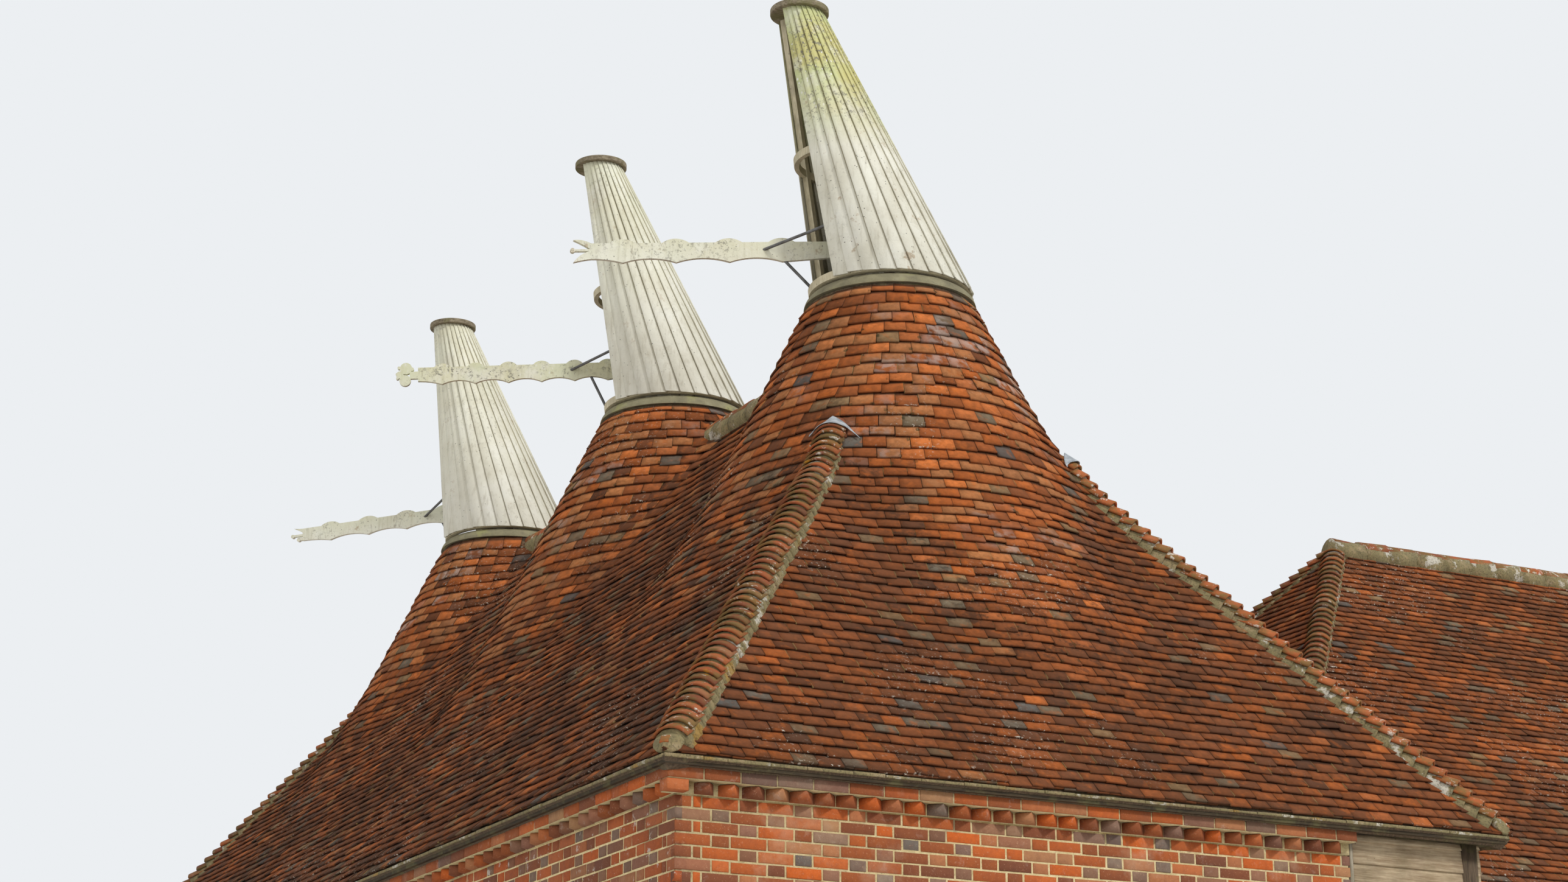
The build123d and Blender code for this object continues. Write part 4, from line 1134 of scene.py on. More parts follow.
@dataclass
class RoundTile:
    """A bonnet or ridge tile: part of a pipe, a little wider at its tail. Real metres, laid along local Y."""

    radius: float
    length: float
    half_turn: float
    thick: float = 0.014
    flare: float = 0.10
    steps: int = 8

    def shape(self) -> Solid:
        """Spins the tile's section about its axis and widens its tail."""
        bm = bmesh.new()
        start = math.radians(self.half_turn)
        bmesh.ops.create_grid(bm, x_segments=1, y_segments=2, size=0.5)
        bmesh.ops.scale(bm, vec=(self.thick, self.length, 1.0), verts=bm.verts[:])
        bmesh.ops.translate(bm, vec=(self.radius - self.thick / 2, self.length / 2, 0.0), verts=bm.verts[:])
        bmesh.ops.rotate(bm, cent=(0, 0, 0), verts=bm.verts[:],
                         matrix=Matrix.Rotation(start - math.pi / 2, 3, "Y"))
        bmesh.ops.spin(bm, geom=everything(bm), cent=(0, 0, 0), axis=(0, 1, 0),
                       angle=-2 * start, steps=self.steps, use_merge=False, use_duplicate=False)
        bmesh.ops.remove_doubles(bm, verts=bm.verts[:], dist=1e-5)
        for vert in bm.verts:
            grow = 1 + self.flare * (0.5 - vert.co.y / self.length)
            vert.co.x *= grow
            vert.co.z *= grow
        return face_out(bm)


@dataclass
class MortarRoll:
    """Rough round bedding under a bonnet or ridge tile, laid along local Y."""

    radius: float
    length: float
    steps: int = 16
    floor: float | None = None

    def shape(self) -> Solid:
        """Turns a short drum on its side, roughens it and cuts it off flat below its floor."""
        bm = bmesh.new()
        lie = Matrix.Translation((0, self.length / 2, 0)) @ Matrix.Rotation(math.pi / 2, 4, "X")
        bmesh.ops.create_cone(bm, cap_ends=True, cap_tris=False, segments=self.steps, radius1=self.radius,
                              radius2=self.radius, depth=self.length, matrix=lie)
        roughen(bm, ROLL_SEED, 0.025)
        if self.floor is not None:
            cut_off(bm, (0, 0, self.floor), (0, 0, -1))
        return face_out(bm)


@dataclass
class Dab:
    """A rough lump of mortar that closes the foot of a hip. Real metres, laid along local Y."""

    size: tuple[float, float, float] = (0.096, 0.076, 0.044)

    def shape(self) -> Solid:
        """Rounds the lump, roughens it and stretches it."""
        bm = bmesh.new()
        bmesh.ops.create_icosphere(bm, subdivisions=3, radius=1.0)
        roughen(bm, DAB_SEED, 0.02)
        bmesh.ops.scale(bm, vec=self.size, verts=bm.verts[:])
        return face_out(bm)


def hip_foot(line: Array) -> list[Laid]:
    """Closes a hip below its lowest bonnet with mortar and a slip of tile, struck flush with the eaves.

    Args:
        line: Points up the hip, one to a bonnet.

    Returns:
        The mortar and the slip of tile.
    """
    way, across, out = ways_along(line[1:2] - line[:1])
    middle = line[:1] - way * 0.030 - out * 0.028
    tint = np.array([[0.7, 0.5, 0.8, 1.0]])
    wide, long, thick = SLIP
    slip = blocks(middle + out * 0.034 - across * 0.036 - way * 0.046, across * wide, way * long, out * thick)
    return [Laid(Dab(), blocks(middle, across, way, out), tint, 1), Laid(Unit(SLIP, 0.003), slip, tint)]


@dataclass
class KilnRoof:
    """The kilns' hipped roof with its three cones, laid course by course round the whole building."""

    half: float = EAVES_HALF
    near: float = EAVES_NEAR
    far: float = EAVES_FAR
    edge: float = EAVES_TOP
    ridge: float = 8.738
    axes: tuple[float, ...] = AXES
    tops: tuple[float, ...] = (8.858, 9.018, 8.808)
    foot: float = LINING_FOOT
    low_rise: float = 0.0670
    high_rise: float = 0.0890
    hips_end: float = 7.60
    lining_drop: float = 0.062
    lining_thick: float = 0.075
    steep_from: float = 6.95
    steep_over: float = 0.5
    # How dark each slope's tiles are made, left, right, near and far: grime, and on the left slope a larger
    # share that partly paints that slope's shade.
    slope_darkening: tuple[float, ...] = (0.95, 0.7, 0.62, 0.7)
    end_rays: int = 150
    side_rays: int = 60
    ridge_rays: int = 260
    form: RoofForm = field(init=False)
    rays: tuple[Array, Array] = field(init=False)
    hips: list[int] = field(init=False)

    def __post_init__(self) -> None:
        """Works out the planes and the rays that find every level line."""
        long_rise = (self.ridge - self.edge) / self.half
        end_rise = (self.ridge - self.edge) / (self.axes[0] - self.near)
        planes = ((self.edge + self.half * long_rise, long_rise, 0.0),
                  (self.edge + self.half * long_rise, -long_rise, 0.0),
                  (self.edge - self.near * end_rise, 0.0, end_rise),
                  (self.edge + self.far * end_rise, 0.0, -end_rise))
        self.form = RoofForm(planes, tuple(zip(self.axes, self.tops)))
        corner = math.degrees(math.atan2(self.axes[0] - self.near, self.half))
        origins, ways, self.hips = [], [], [0]
        first, last = self.axes[0], self.axes[-1]
        end, quarter = self.end_rays, self.side_rays
        sweeps = ((first, 180 + corner, 360 - corner, end), (first, 360 - corner, 360, quarter), None,
                  (last, 0, corner, quarter), (last, corner, 180 - corner, end),
                  (last, 180 - corner, 180, quarter), None, (first, 180, 180 + corner, quarter))
        side = 1
        for sweep in sweeps:
            if sweep is None:
                ys = np.linspace(first, last, self.ridge_rays)[::side]
                origins.append(np.column_stack([np.zeros(self.ridge_rays), ys]))
                ways.append(np.tile([float(side), 0.0], (self.ridge_rays, 1)))
                side = -side
            else:
                axis, start, stop, count = sweep
                angles = np.radians(np.linspace(start, stop, count))
                origins.append(np.tile([0.0, axis], (count, 1)))
                ways.append(np.column_stack([np.cos(angles), np.sin(angles)]))
            if sweep in (sweeps[0], sweeps[3], sweeps[4]):
                self.hips.append(sum(len(o) for o in origins) - 1)
        self.rays = (np.concatenate(origins), np.concatenate(ways))
        self.hips.append(len(self.rays[0]) - 1)

    def line(self, level: float) -> Array:
        """The level line round the whole roof, counter-clockwise from the near left hip."""
        return self.form.reach(level, *self.rays, 5.0)

    def ring(self, kiln: int, level: float, count: int = 180) -> Array:
        """The level line round one cone, from its near side."""
        angles = np.radians(np.linspace(-90, 270, count + 1))
        origin = np.tile([0.0, self.axes[kiln]], (count + 1, 1))
        return self.form.reach(level, origin, np.column_stack([np.cos(angles), np.sin(angles)]), 1.75)

    def rows(self, level: float) -> list[Row]:
        """The rows that a course is made of at a level."""
        if level >= self.ridge:
            return [Row(self.ring(kiln, level), 0, True, None) for kiln, top in enumerate(self.tops)
                    if level < top - 0.045]
        line, end = self.line(level), self.end_rays // 2
        if level > self.hips_end:
            return [Row(line, end, True, None)]
        a, b, c, d, e = self.hips
        middle = (c - b) // 2
        return [Row(line[a:b + 1], end, False, 2), Row(line[b:c + 1], middle, False, 1),
                Row(line[c:d + 1], end, False, 3), Row(line[d:e + 1], middle, False, 0)]

    def levels(self) -> list[float]:
        """Heights of the courses, which rise faster where the roof gets steeper."""
        levels = [self.edge]
        while levels[-1] < max(self.tops):
            share = float(np.clip((levels[-1] - self.steep_from) / self.steep_over, 0, 1))
            levels.append(levels[-1] + self.low_rise + (self.high_rise - self.low_rise) * share)
        return levels

    def tiles(self, stock: Stock) -> None:
        """Lays every tile and sorts them by the slope or cone they lie on."""
        rng = np.random.default_rng(KILN_TILE_SEED)
        bed = TileBed()
        levels = self.levels()
        laid = []
        for course in range(-1, len(levels) - 1):
            level = levels[max(course, 0)]
            rise = levels[max(course, 0) + 1] - level
            for row in self.rows(level + 0.0005):
                ceiling = self.tops[self.nearest(row.line.mean(0)[1])] if level >= self.ridge else 9.0
                laid.append(bed.course(self.form, row, 0.5 * (course % 2), rise, ceiling, rng,
                                       drop=bed.thick if course < 0 else 0.0))
        corners, middles, bulges = (np.concatenate(parts) for parts in zip(*laid))
        x, y = middles.T
        level, join, above = self.form.surface(x, y)
        planes = self.form.plane_heights(x, y)
        side = planes.argmin(0)
        kiln = np.array([self.nearest(v) for v in y])
        cone = above > 0.03
        onto = np.clip(above / 0.35, 0, 1)
        low = np.clip((self.ridge - level) / (self.ridge - self.edge), 0, 1)
        slope_darkening = np.array(self.slope_darkening)[side] * (0.6 + 0.4 * low)
        slope_darkening = slope_darkening * (1 - 0.85 * onto) + 0.04
        shift = np.where(side == 0, 0.0, -0.03) * (1 - onto) + 0.31 * onto - 0.05 * low * (1 - onto)
        plain = np.clip(rng.normal(0.48, np.where(side == 0, 0.25, 0.17)) + shift, 0.0, 0.88)
        odd = rng.random(len(x)) < ODD_TILES
        hue = np.where(odd, rng.uniform(0.9, 1.0, len(x)), plain)
        tint = np.stack([hue, rng.random(len(x)), join ** 2 * (1 - onto * 0.5), slope_darkening], axis=1)
        names = [(f"tile_cone_{k + 1}", cone & (kiln == k)) for k in range(3)]
        slopes = ("left_slope", "right_slope", "near_slope", "far_slope")
        names += [(name, ~cone & (side == i)) for i, name in enumerate(slopes)]
        for name, mine in names:
            batch = Laid(Unit(columns=3), corners[mine], tint[mine], 0, bulges[mine])
            adopt(lay(f"{name}_tiles", [batch], [stock.tiles]), "root", "roof_tiles", name)

    def nearest(self, y: float) -> int:
        """Number of the kiln nearest to a place along the row."""
        return int(np.argmin([abs(y - axis) for axis in self.axes]))

    def lining(self, stock: Stock) -> Piece:
        """The skin of battens and plaster under the tiles, swept up into the cones."""
        bm = bmesh.new()

        def raised(plan: Array, level: float) -> Array:
            """Plan points brought to a level."""
            return np.column_stack([plan, np.full(len(plan), level)])

        sheets = [[raised(self.line(level + self.lining_drop)[::3], level)
                   for level in np.linspace(self.foot, self.ridge - 0.075, 46)]]
        for kiln, top in enumerate(self.tops):
            sheets.append([raised(self.ring(kiln, min(level + self.lining_drop, top + 0.05), 90), level)
                           for level in np.linspace(self.ridge - 0.055, top - 0.004, 5)])
        for sheet in sheets:
            columns, rows = len(sheet[0]) - 1, len(sheet) - 1
            fresh = bmesh.ops.create_grid(bm, x_segments=columns, y_segments=rows, size=0.5)["verts"]
            for vert in fresh:
                vert.co = sheet[round((vert.co.y + 0.5) * rows)][round((vert.co.x + 0.5) * columns)]
        bmesh.ops.remove_doubles(bm, verts=bm.verts[:], dist=1e-4)
        bmesh.ops.solidify(bm, geom=face_out(bm).faces[:], thickness=self.lining_thick)
        return settle("roof_lining", face_out(bm), [stock.rough_timber])

    def build(self, stock: Stock) -> None:
        """Builds the tiles and what they lie on."""
        self.tiles(stock)
        adopt(self.lining(stock), "root", "roof_tiles")


@dataclass
class WingRoof:
    """The store wing's hipped roof."""

    near: float = 3.040
    far: float = 14.0
    middle: float = AXES[1]
    run: float = 3.680
    edge: float = EAVES_TOP
    ridge: float = 8.833
    foot: float = LINING_FOOT
    courses: int = 60
    form: RoofForm = field(init=False)

    def __post_init__(self) -> None:
        """Works out the four planes."""
        rise = (self.ridge - self.edge) / self.run
        low, high = self.middle - self.run, self.middle + self.run
        self.form = RoofForm(((self.edge - self.near * rise, rise, 0.0),
                              (self.edge + self.far * rise, -rise, 0.0),
                              (self.edge - low * rise, 0.0, rise), (self.edge + high * rise, 0.0, -rise)))

    def corners(self, level: float) -> list[Array]:
        """Corners of the level line, counter-clockwise from the near left one."""
        inset = (level - self.edge) / (self.ridge - self.edge) * self.run
        low, high = self.middle - self.run + inset, self.middle + self.run - inset
        near, far = self.near + inset, self.far - inset
        return [np.array(p) for p in ((near, low), (far, low), (far, high), (near, high))]

    def tiles(self, stock: Stock) -> None:
        """Lays the wing's tiles, slope by slope."""
        rng = np.random.default_rng(WING_TILE_SEED)
        bed = TileBed()
        rise = (self.ridge - self.edge) / self.courses
        sides = ((0, 2, "wing_front_slope"), (1, 1, "wing_far_slope"), (2, 3, "wing_back_slope"),
                 (3, 0, "wing_near_slope"))
        for start, side, name in sides:
            laid = []
            for course in range(-1, self.courses - 1):
                ring = self.corners(self.edge + max(course, 0) * rise)
                row = Row(np.linspace(ring[start], ring[(start + 1) % 4], 41), 20, False, side)
                laid.append(bed.course(self.form, row, 0.5 * (course % 2), rise, self.ridge - 0.01, rng,
                                       drop=bed.thick if course < 0 else 0.0)[0])
            corners = np.concatenate(laid)
            count = len(corners)
            odd = rng.random(count) < ODD_TILES
            hue = np.where(odd, rng.uniform(0.9, 1.0, count), rng.normal(0.5, 0.15, count).clip(0, 0.88))
            slope_darkening = np.full(count, 0.6 if side == 2 else 0.7)
            tint = np.stack([hue, rng.random(count), np.zeros(count), slope_darkening], axis=1)
            piece = lay(f"{name}_tiles", [Laid(Unit(), corners, tint)], [stock.tiles])
            adopt(piece, "root", "roof_tiles", name)

    def lining(self, stock: Stock) -> Piece:
        """The skin of battens under the tiles."""
        bm = bmesh.new()
        drop, thick = 0.055, 0.075
        reach = (self.ridge - drop - self.foot) / (self.ridge - self.edge) * self.run
        bmesh.ops.create_grid(bm, x_segments=3, y_segments=2, size=0.5)
        near, far = self.near + self.run, self.far - self.run
        ends = (near - reach, near, far, far + reach)
        for vert in bm.verts:
            column, row = round((vert.co.x + 0.5) * 3), round((vert.co.y + 0.5) * 2)
            top = row == 1 and column in (1, 2)
            vert.co = (ends[column], self.middle + (row - 1) * reach, self.ridge - drop if top else self.foot)
        bmesh.ops.solidify(bm, geom=bm.faces[:], thickness=thick)
        return settle("wing_lining", face_out(bm), [stock.rough_timber])

    def build(self, stock: Stock) -> None:
        """Builds the tiles and what they lie on."""
        self.tiles(stock)
        adopt(self.lining(stock), "root", "roof_tiles")


@dataclass
class RoundRow:
    """Round tiles on mortar along a line, such as a hip's bonnets or a ridge's tiles."""

    tile: RoundTile
    bed: MortarRoll
    sink: float
    tilt: float = 0.0
    setback: float = 0.006
    bed_sink: float = 0.0
    wander: float = 0.003

    def laid(self, line: Array, rng: np.random.Generator, crust: float = 0.5) -> list[Laid]:
        """Lays a tile and its bed at each point of a line but the last.

        Args:
            line: Points up the hip or along the ridge.
            rng: Random source.
            crust: How much white lichen there is, 0 to 1.

        Returns:
            The tiles and their beds.
        """
        along, across, out = ways_along(np.diff(line, axis=0))
        count = len(along)
        tilt = np.radians(self.tilt + rng.normal(0, 1.3, count))[:, None]
        origin = line[:-1] - out * self.sink + across * rng.normal(0, self.wander, (count, 1))
        along, out = along * np.cos(tilt) - out * np.sin(tilt), out * np.cos(tilt) + along * np.sin(tilt)
        tint = tints(rng, np.full(count, crust), 1.0)
        bed = blocks(origin + along * self.setback - out * self.bed_sink, across, along, out)
        return [Laid(self.tile, blocks(origin, across, along, out), tint), Laid(self.bed, bed, tint, 1)]


@dataclass
class KilnCoverings:
    """Bonneted hips, lead hoods and saddle ridges of the kiln roof."""

    roof: KilnRoof
    bonnets: RoundRow = field(default_factory=lambda: RoundRow(
        RoundTile(0.132, 0.165, 56.0), MortarRoll(0.117, 0.12, floor=-0.035), 0.086, 17.0))
    counts: tuple[int, ...] = (50, 37, 37, 37)
    ridges: RoundRow = field(default_factory=lambda: RoundRow(
        RoundTile(0.105, 0.296, 92.0, flare=0.03), MortarRoll(0.099, 0.31), 0.035, setback=-0.004))
    hood_thick: float = 0.005
    hood_r: float = 0.142
    hood_turn: float = 150.0

    def hip_lines(self) -> list[Array]:
        """Points up the four hips, one to a bonnet."""
        levels = np.linspace(self.roof.edge + HIP_START, self.roof.hips_end, 61)
        plan = np.stack([self.roof.line(level)[self.roof.hips[:4]] for level in levels], axis=1)
        lines = np.concatenate([plan, np.tile(levels[None, :, None], (4, 1, 1))], axis=2)
        steps = [np.linspace(0, 60, count + 1) for count in self.counts]
        return [np.stack([np.interp(step, np.arange(61), line[:, i]) for i in range(3)], axis=1)
                for step, line in zip(steps, lines)]

    def hips(self, stock: Stock) -> list[Array]:
        """Lays the bonnets up each hip."""
        rng = np.random.default_rng(HIP_SEED)
        lines = self.hip_lines()
        names = ("near_left_hip", "near_right_hip", "far_right_hip", "far_left_hip")
        for line, name, crust in zip(lines, names, (0.45, 0.8, 0.5, 0.5)):
            batches = self.bonnets.laid(line, rng, crust) + hip_foot(line)
            adopt(lay(f"{name}_bonnets", batches, [stock.bonnets, stock.bed]), "root", "hip_tiles", name)
        return lines

    def hoods(self, lines: list[Array], stock: Stock) -> None:
        """Dresses a small lead sheet over the top end of each hip and up on to its cone."""
        bm = bmesh.new()
        form, columns, rows = self.roof.form, 18, 5
        for line in lines:
            way, side, out = ways_along(line[-1] - line[-2])
            level_way = way * (1, 1, 0) / np.hypot(*way[:2])
            top = line[-1]
            centre = top - out * self.bonnets.sink - way * 0.015
            fresh = bmesh.ops.create_grid(bm, x_segments=columns, y_segments=rows, size=0.5)["verts"]
            for vert in fresh:
                turn, up = vert.co.x * math.radians(self.hood_turn), vert.co.y + 0.5
                low = centre + (side * math.sin(turn * 0.85) + out * math.cos(turn * 0.85)) * self.hood_r
                wide = 0.165 + 0.012 * math.sin(5 * turn) + 0.05 * max(math.sin(turn), 0)
                spread = side * math.sin(turn) * wide
                spot = top + spread + level_way * (0.058 * max(math.cos(turn), 0.0) - 0.008)
                lift = 0.018 + 0.006 * math.sin(4 * turn + 1)
                high = np.array([spot[0], spot[1], float(form.height(spot[:1], spot[1:2])[0]) + lift])
                ease = up * up * (3 - 2 * up)
                vert.co = low * (1 - ease) + high * ease
        bmesh.ops.solidify(bm, geom=face_out(bm).faces[:], thickness=self.hood_thick)
        for face in face_out(bm).faces:
            face.smooth = True
        adopt(settle("lead_hoods", bm, [stock.lead]), "root", "lead", "hip_hoods")

    def saddles(self, stock: Stock) -> None:
        """Lays round ridge tiles on the saddles between the cones, on a thick bed."""
        rng = np.random.default_rng(SADDLE_SEED)
        batches = []
        for kiln in range(2):
            start, stop = self.roof.axes[kiln] + 0.60, self.roof.axes[kiln + 1] - 0.62
            y = np.linspace(start, stop, round((stop - start) / 0.30) + 1)
            sag = 0.012 * (2 * (y - start) / (stop - start) - 1) ** 2
            line = np.column_stack([np.zeros_like(y), y, self.roof.ridge + sag])
            batches += self.ridges.laid(line, rng, 0.3)
            bank = RoundRow(self.ridges.tile, MortarRoll(0.124, 0.32), 0.072, setback=-0.01)
            batches.append(bank.laid(line, rng)[1])
        piece = lay("saddle_ridge_tiles", batches, [stock.bonnets, stock.bed])
        adopt(piece, "root", "hip_tiles", "saddle_ridges")

    def build(self, stock: Stock) -> None:
        """Builds all the coverings."""
        self.hoods(self.hips(stock), stock)
        self.saddles(stock)


@dataclass
class WingCoverings:
    """Hips and ridge of the wing, in buff mortar."""

    roof: WingRoof
    bonnets: RoundRow = field(default_factory=lambda: RoundRow(
        RoundTile(0.125, 0.175, 60.0), MortarRoll(0.110, 0.125, floor=-0.015), 0.078, 13.0))
    ridges: RoundRow = field(default_factory=lambda: RoundRow(
        RoundTile(0.105, 0.318, 92.0, flare=0.0), MortarRoll(0.1005, 0.335), 0.035, setback=-0.006,
        wander=0.0015))

    def build(self, stock: Stock) -> None:
        """Lays the four hips and the ridge."""
        rng = np.random.default_rng(WING_HIP_SEED)
        roof = self.roof
        levels = np.linspace(roof.edge + HIP_START, roof.ridge, roof.courses + 1)
        plan = np.stack([np.array(roof.corners(level)) for level in levels], axis=1)
        batches, finishes = [], [stock.bonnets, stock.wing_bed]
        for row in plan:
            line = np.column_stack([row, levels])[:-1]
            batches += self.bonnets.laid(line, rng, 0.4) + hip_foot(line)
        adopt(lay("wing_hip_bonnets", batches, finishes), "root", "hip_tiles", "wing_hips")
        x = np.linspace(roof.near + roof.run - 0.055, roof.far - roof.run + 0.055, 13)
        line = np.column_stack([x, np.full(len(x), roof.middle), np.full(len(x), roof.ridge)])
        bank = RoundRow(self.ridges.tile, MortarRoll(0.122, 0.34), 0.070, setback=-0.01)
        batches = self.ridges.laid(line, rng, 0.2) + [bank.laid(line, rng)[1]]
        adopt(lay("wing_ridge_tiles", batches, finishes), "root", "hip_tiles", "wing_ridge")


@dataclass
class Undercloak:
    """Short mossy pieces bedded on the eaves boards, just behind the lowest tiles' tails."""

    name: str
    corners: tuple[tuple[float, float], ...]
    foot: float = 4.859
    tall: float = 0.018
    setback: float = 0.007
    depth: float = 0.05

    def build(self, stock: Stock, seed: int) -> None:
        """Lays the pieces round the eaves, counter-clockwise."""
        rng = np.random.default_rng(seed)
        origins, alongs, outs = [], [], []
        for start, stop in zip(self.corners, self.corners[1:]):
            leg = np.array([*stop, 0.0]) - np.array([*start, 0.0])
            length = float(np.linalg.norm(leg))
            way = leg / length
            out = np.array([way[1], -way[0], 0.0])
            stops = np.cumsum(rng.uniform(0.14, 0.34, int(length / 0.14)))
            stops = np.concatenate([[0.02], stops[stops < length - 0.1], [length - 0.02]])
            for low, high in zip(stops, stops[1:]):
                origins.append(np.array([*start, self.foot]) + way * low - out * (self.setback + self.depth)
                               + out * rng.uniform(-0.004, 0.003))
                alongs.append(way * (high - low - 0.004))
                outs.append(out * self.depth)
        count = len(origins)
        up = UP * (self.tall + rng.normal(0, 0.0018, (count, 1)).clip(-0.004, 0.004))
        corners = blocks(np.array(origins), np.array(alongs), up, np.array(outs))
        tint = np.column_stack([rng.random((count, 3)), np.ones(count)])
        piece = lay(self.name, [Laid(Unit((0.24, self.tall, self.depth), 0.003), corners, tint)], [stock.bed])
        adopt(piece, "root", "hip_tiles")


@dataclass
class CornerPosts:
    """Posts beside the brickwork, cut back behind the boards but for a narrow strip."""

    left: float = 1.820
    right: float = 1.930
    strip: float = 0.025
    cut: float = 0.034
    thick: float = 0.110
    height: float = WALL_TOP

    def build(self, stock: Stock) -> None:
        """Cuts both posts."""
        batches = []
        edge = self.left + self.strip
        for face, out in ((NEAR_FACE, -1.0), (FAR_FACE, 1.0)):
            for low, high, back in ((self.left, edge, 0.0), (edge, self.right, self.cut)):
                origin = np.array([[low, face - out * self.thick, 0.0]])
                corners = blocks(origin, np.array([[high - low, 0, 0]]), UP[None] * self.height,
                                 np.array([[0, out * (self.thick - back), 0]]))
                post = Unit((high - low, self.height, self.thick), 0.003)
                batches.append(Laid(post, corners, np.full((1, 4), 0.5)))
        adopt(lay("corner_post_strips", batches, [stock.post_timber]), "root", "old_timber", "corner_posts")


@dataclass
class Cowl:
    """One turning cowl: tapered boards lapped round its frame under a cap of planks."""

    number: int
    axis_y: float
    foot: float
    heading: float
    boards: int = 25
    mouth: float = 38.0
    low_r: float = 0.605
    high_r: float = 0.185
    tall: float = 2.180
    lean: float = 0.650
    thick: float = 0.014
    lap: float = 0.10
    cap_r: float = 0.217
    cap_thick: float = 0.045
    planks: tuple[float, ...] = (-1.0, -0.112, 0.004, 0.118, 1.0)
    plank_gap: float = 0.0012
    rim: float = 0.006

    def place(self, x: Array, y: Array, z: Array) -> Array:
        """Turns places in the cowl's own space into the frame's."""
        turn = math.radians(self.heading)
        return np.stack([x * math.cos(turn) - y * math.sin(turn),
                         self.axis_y + x * math.sin(turn) + y * math.cos(turn), self.foot + z], axis=-1)

    def skin(self, stock: Stock) -> Piece:
        """Laps the boards round the open-sided skin."""
        rng = np.random.default_rng(COWL_SEED + self.number)
        pitch = (360 - 2 * self.mouth) / self.boards
        first = self.mouth + np.arange(self.boards) * pitch + rng.normal(0, 0.25, self.boards)
        first[0] = self.mouth
        last = np.minimum(np.append(first[1:], 360 - self.mouth) + self.lap * pitch, 360 - self.mouth)
        foot = np.abs(rng.normal(0, 0.004, self.boards)).clip(0.0005, 0.009)
        corners = np.zeros((self.boards, 8, 3))
        for v in (0, 1):
            share = np.ones(self.boards) if v else foot / self.tall
            ring = self.low_r + (self.high_r - self.low_r) * share
            for u, angle in ((0, first), (1, last)):
                raised = (0.0015 if v else 0.006) if u == 0 else (-0.007 if v else -0.0085)
                wobble = rng.normal(0, 0.0008, self.boards)
                for w in (0, 1):
                    radius = ring + raised + wobble - (0 if w else self.thick)
                    spin = np.radians(angle)
                    corners[:, u + 2 * v + 4 * w] = self.place(self.lean * share + radius * np.cos(spin),
                                                               radius * np.sin(spin), self.tall * share)
        tint = tints(rng, np.zeros(self.boards), 1.0)
        batch = Laid(Unit((0.12, self.tall, self.thick), 0.002), corners, tint)
        return lay(f"cowl_{self.number}_skin", [batch], [stock.cowl_paint[self.number - 1]])

    def lid(self, stock: Stock) -> Piece:
        """Cuts the round cap from four planks with an eased rim."""
        whole = bmesh.new()
        middle = Vector((self.lean, 0.0, self.tall + self.cap_thick / 2))
        for low, high in zip(self.planks, self.planks[1:]):
            bm = bmesh.new()
            bmesh.ops.create_cone(bm, cap_ends=True, cap_tris=False, segments=64, radius1=self.cap_r,
                                  radius2=self.cap_r, depth=self.cap_thick, matrix=Matrix.Translation(middle))
            rims = [e for e in bm.edges if abs(e.verts[0].co.z - e.verts[1].co.z) < 1e-6]
            bmesh.ops.bevel(bm, geom=rims, offset=self.rim, offset_type="OFFSET", affect="EDGES", segments=2,
                            profile=0.5, material=-1)
            cut_off(bm, (0, low + self.plank_gap, 0), (0, -1, 0))
            cut_off(bm, (0, high - self.plank_gap, 0), (0, 1, 0))
            plank = bpy.data.meshes.new("plank")
            face_out(bm).to_mesh(plank)
            bm.free()
            whole.from_mesh(plank)
            bpy.data.meshes.remove(plank)
        spots = self.place(*np.array([v.co for v in whole.verts]).T)
        for vert, spot in zip(whole.verts, spots):
            vert.co = spot
        return settle(f"cowl_{self.number}_lid", whole, [stock.cap_timber])

    def build(self, stock: Stock) -> None:
        """Builds the boards and cap and finishes the frame, vane and stays."""
        name = f"cowl_{self.number}"
        adopt(self.skin(stock), name, "cowl_paint", f"{name}_boards")
        adopt(self.lid(stock), name, "weathered_cap", f"{name}_cap")
        dress(f"{name}_frame", stock.frame_timber)
        dress(f"vane_{self.number}", stock.vane_paint[self.number - 1])
        dress(f"vane_{self.number}_stays", stock.iron)
        dress(f"pivot_{self.number}", stock.rough_timber)
        dress(f"curb_{self.number}", stock.cement)


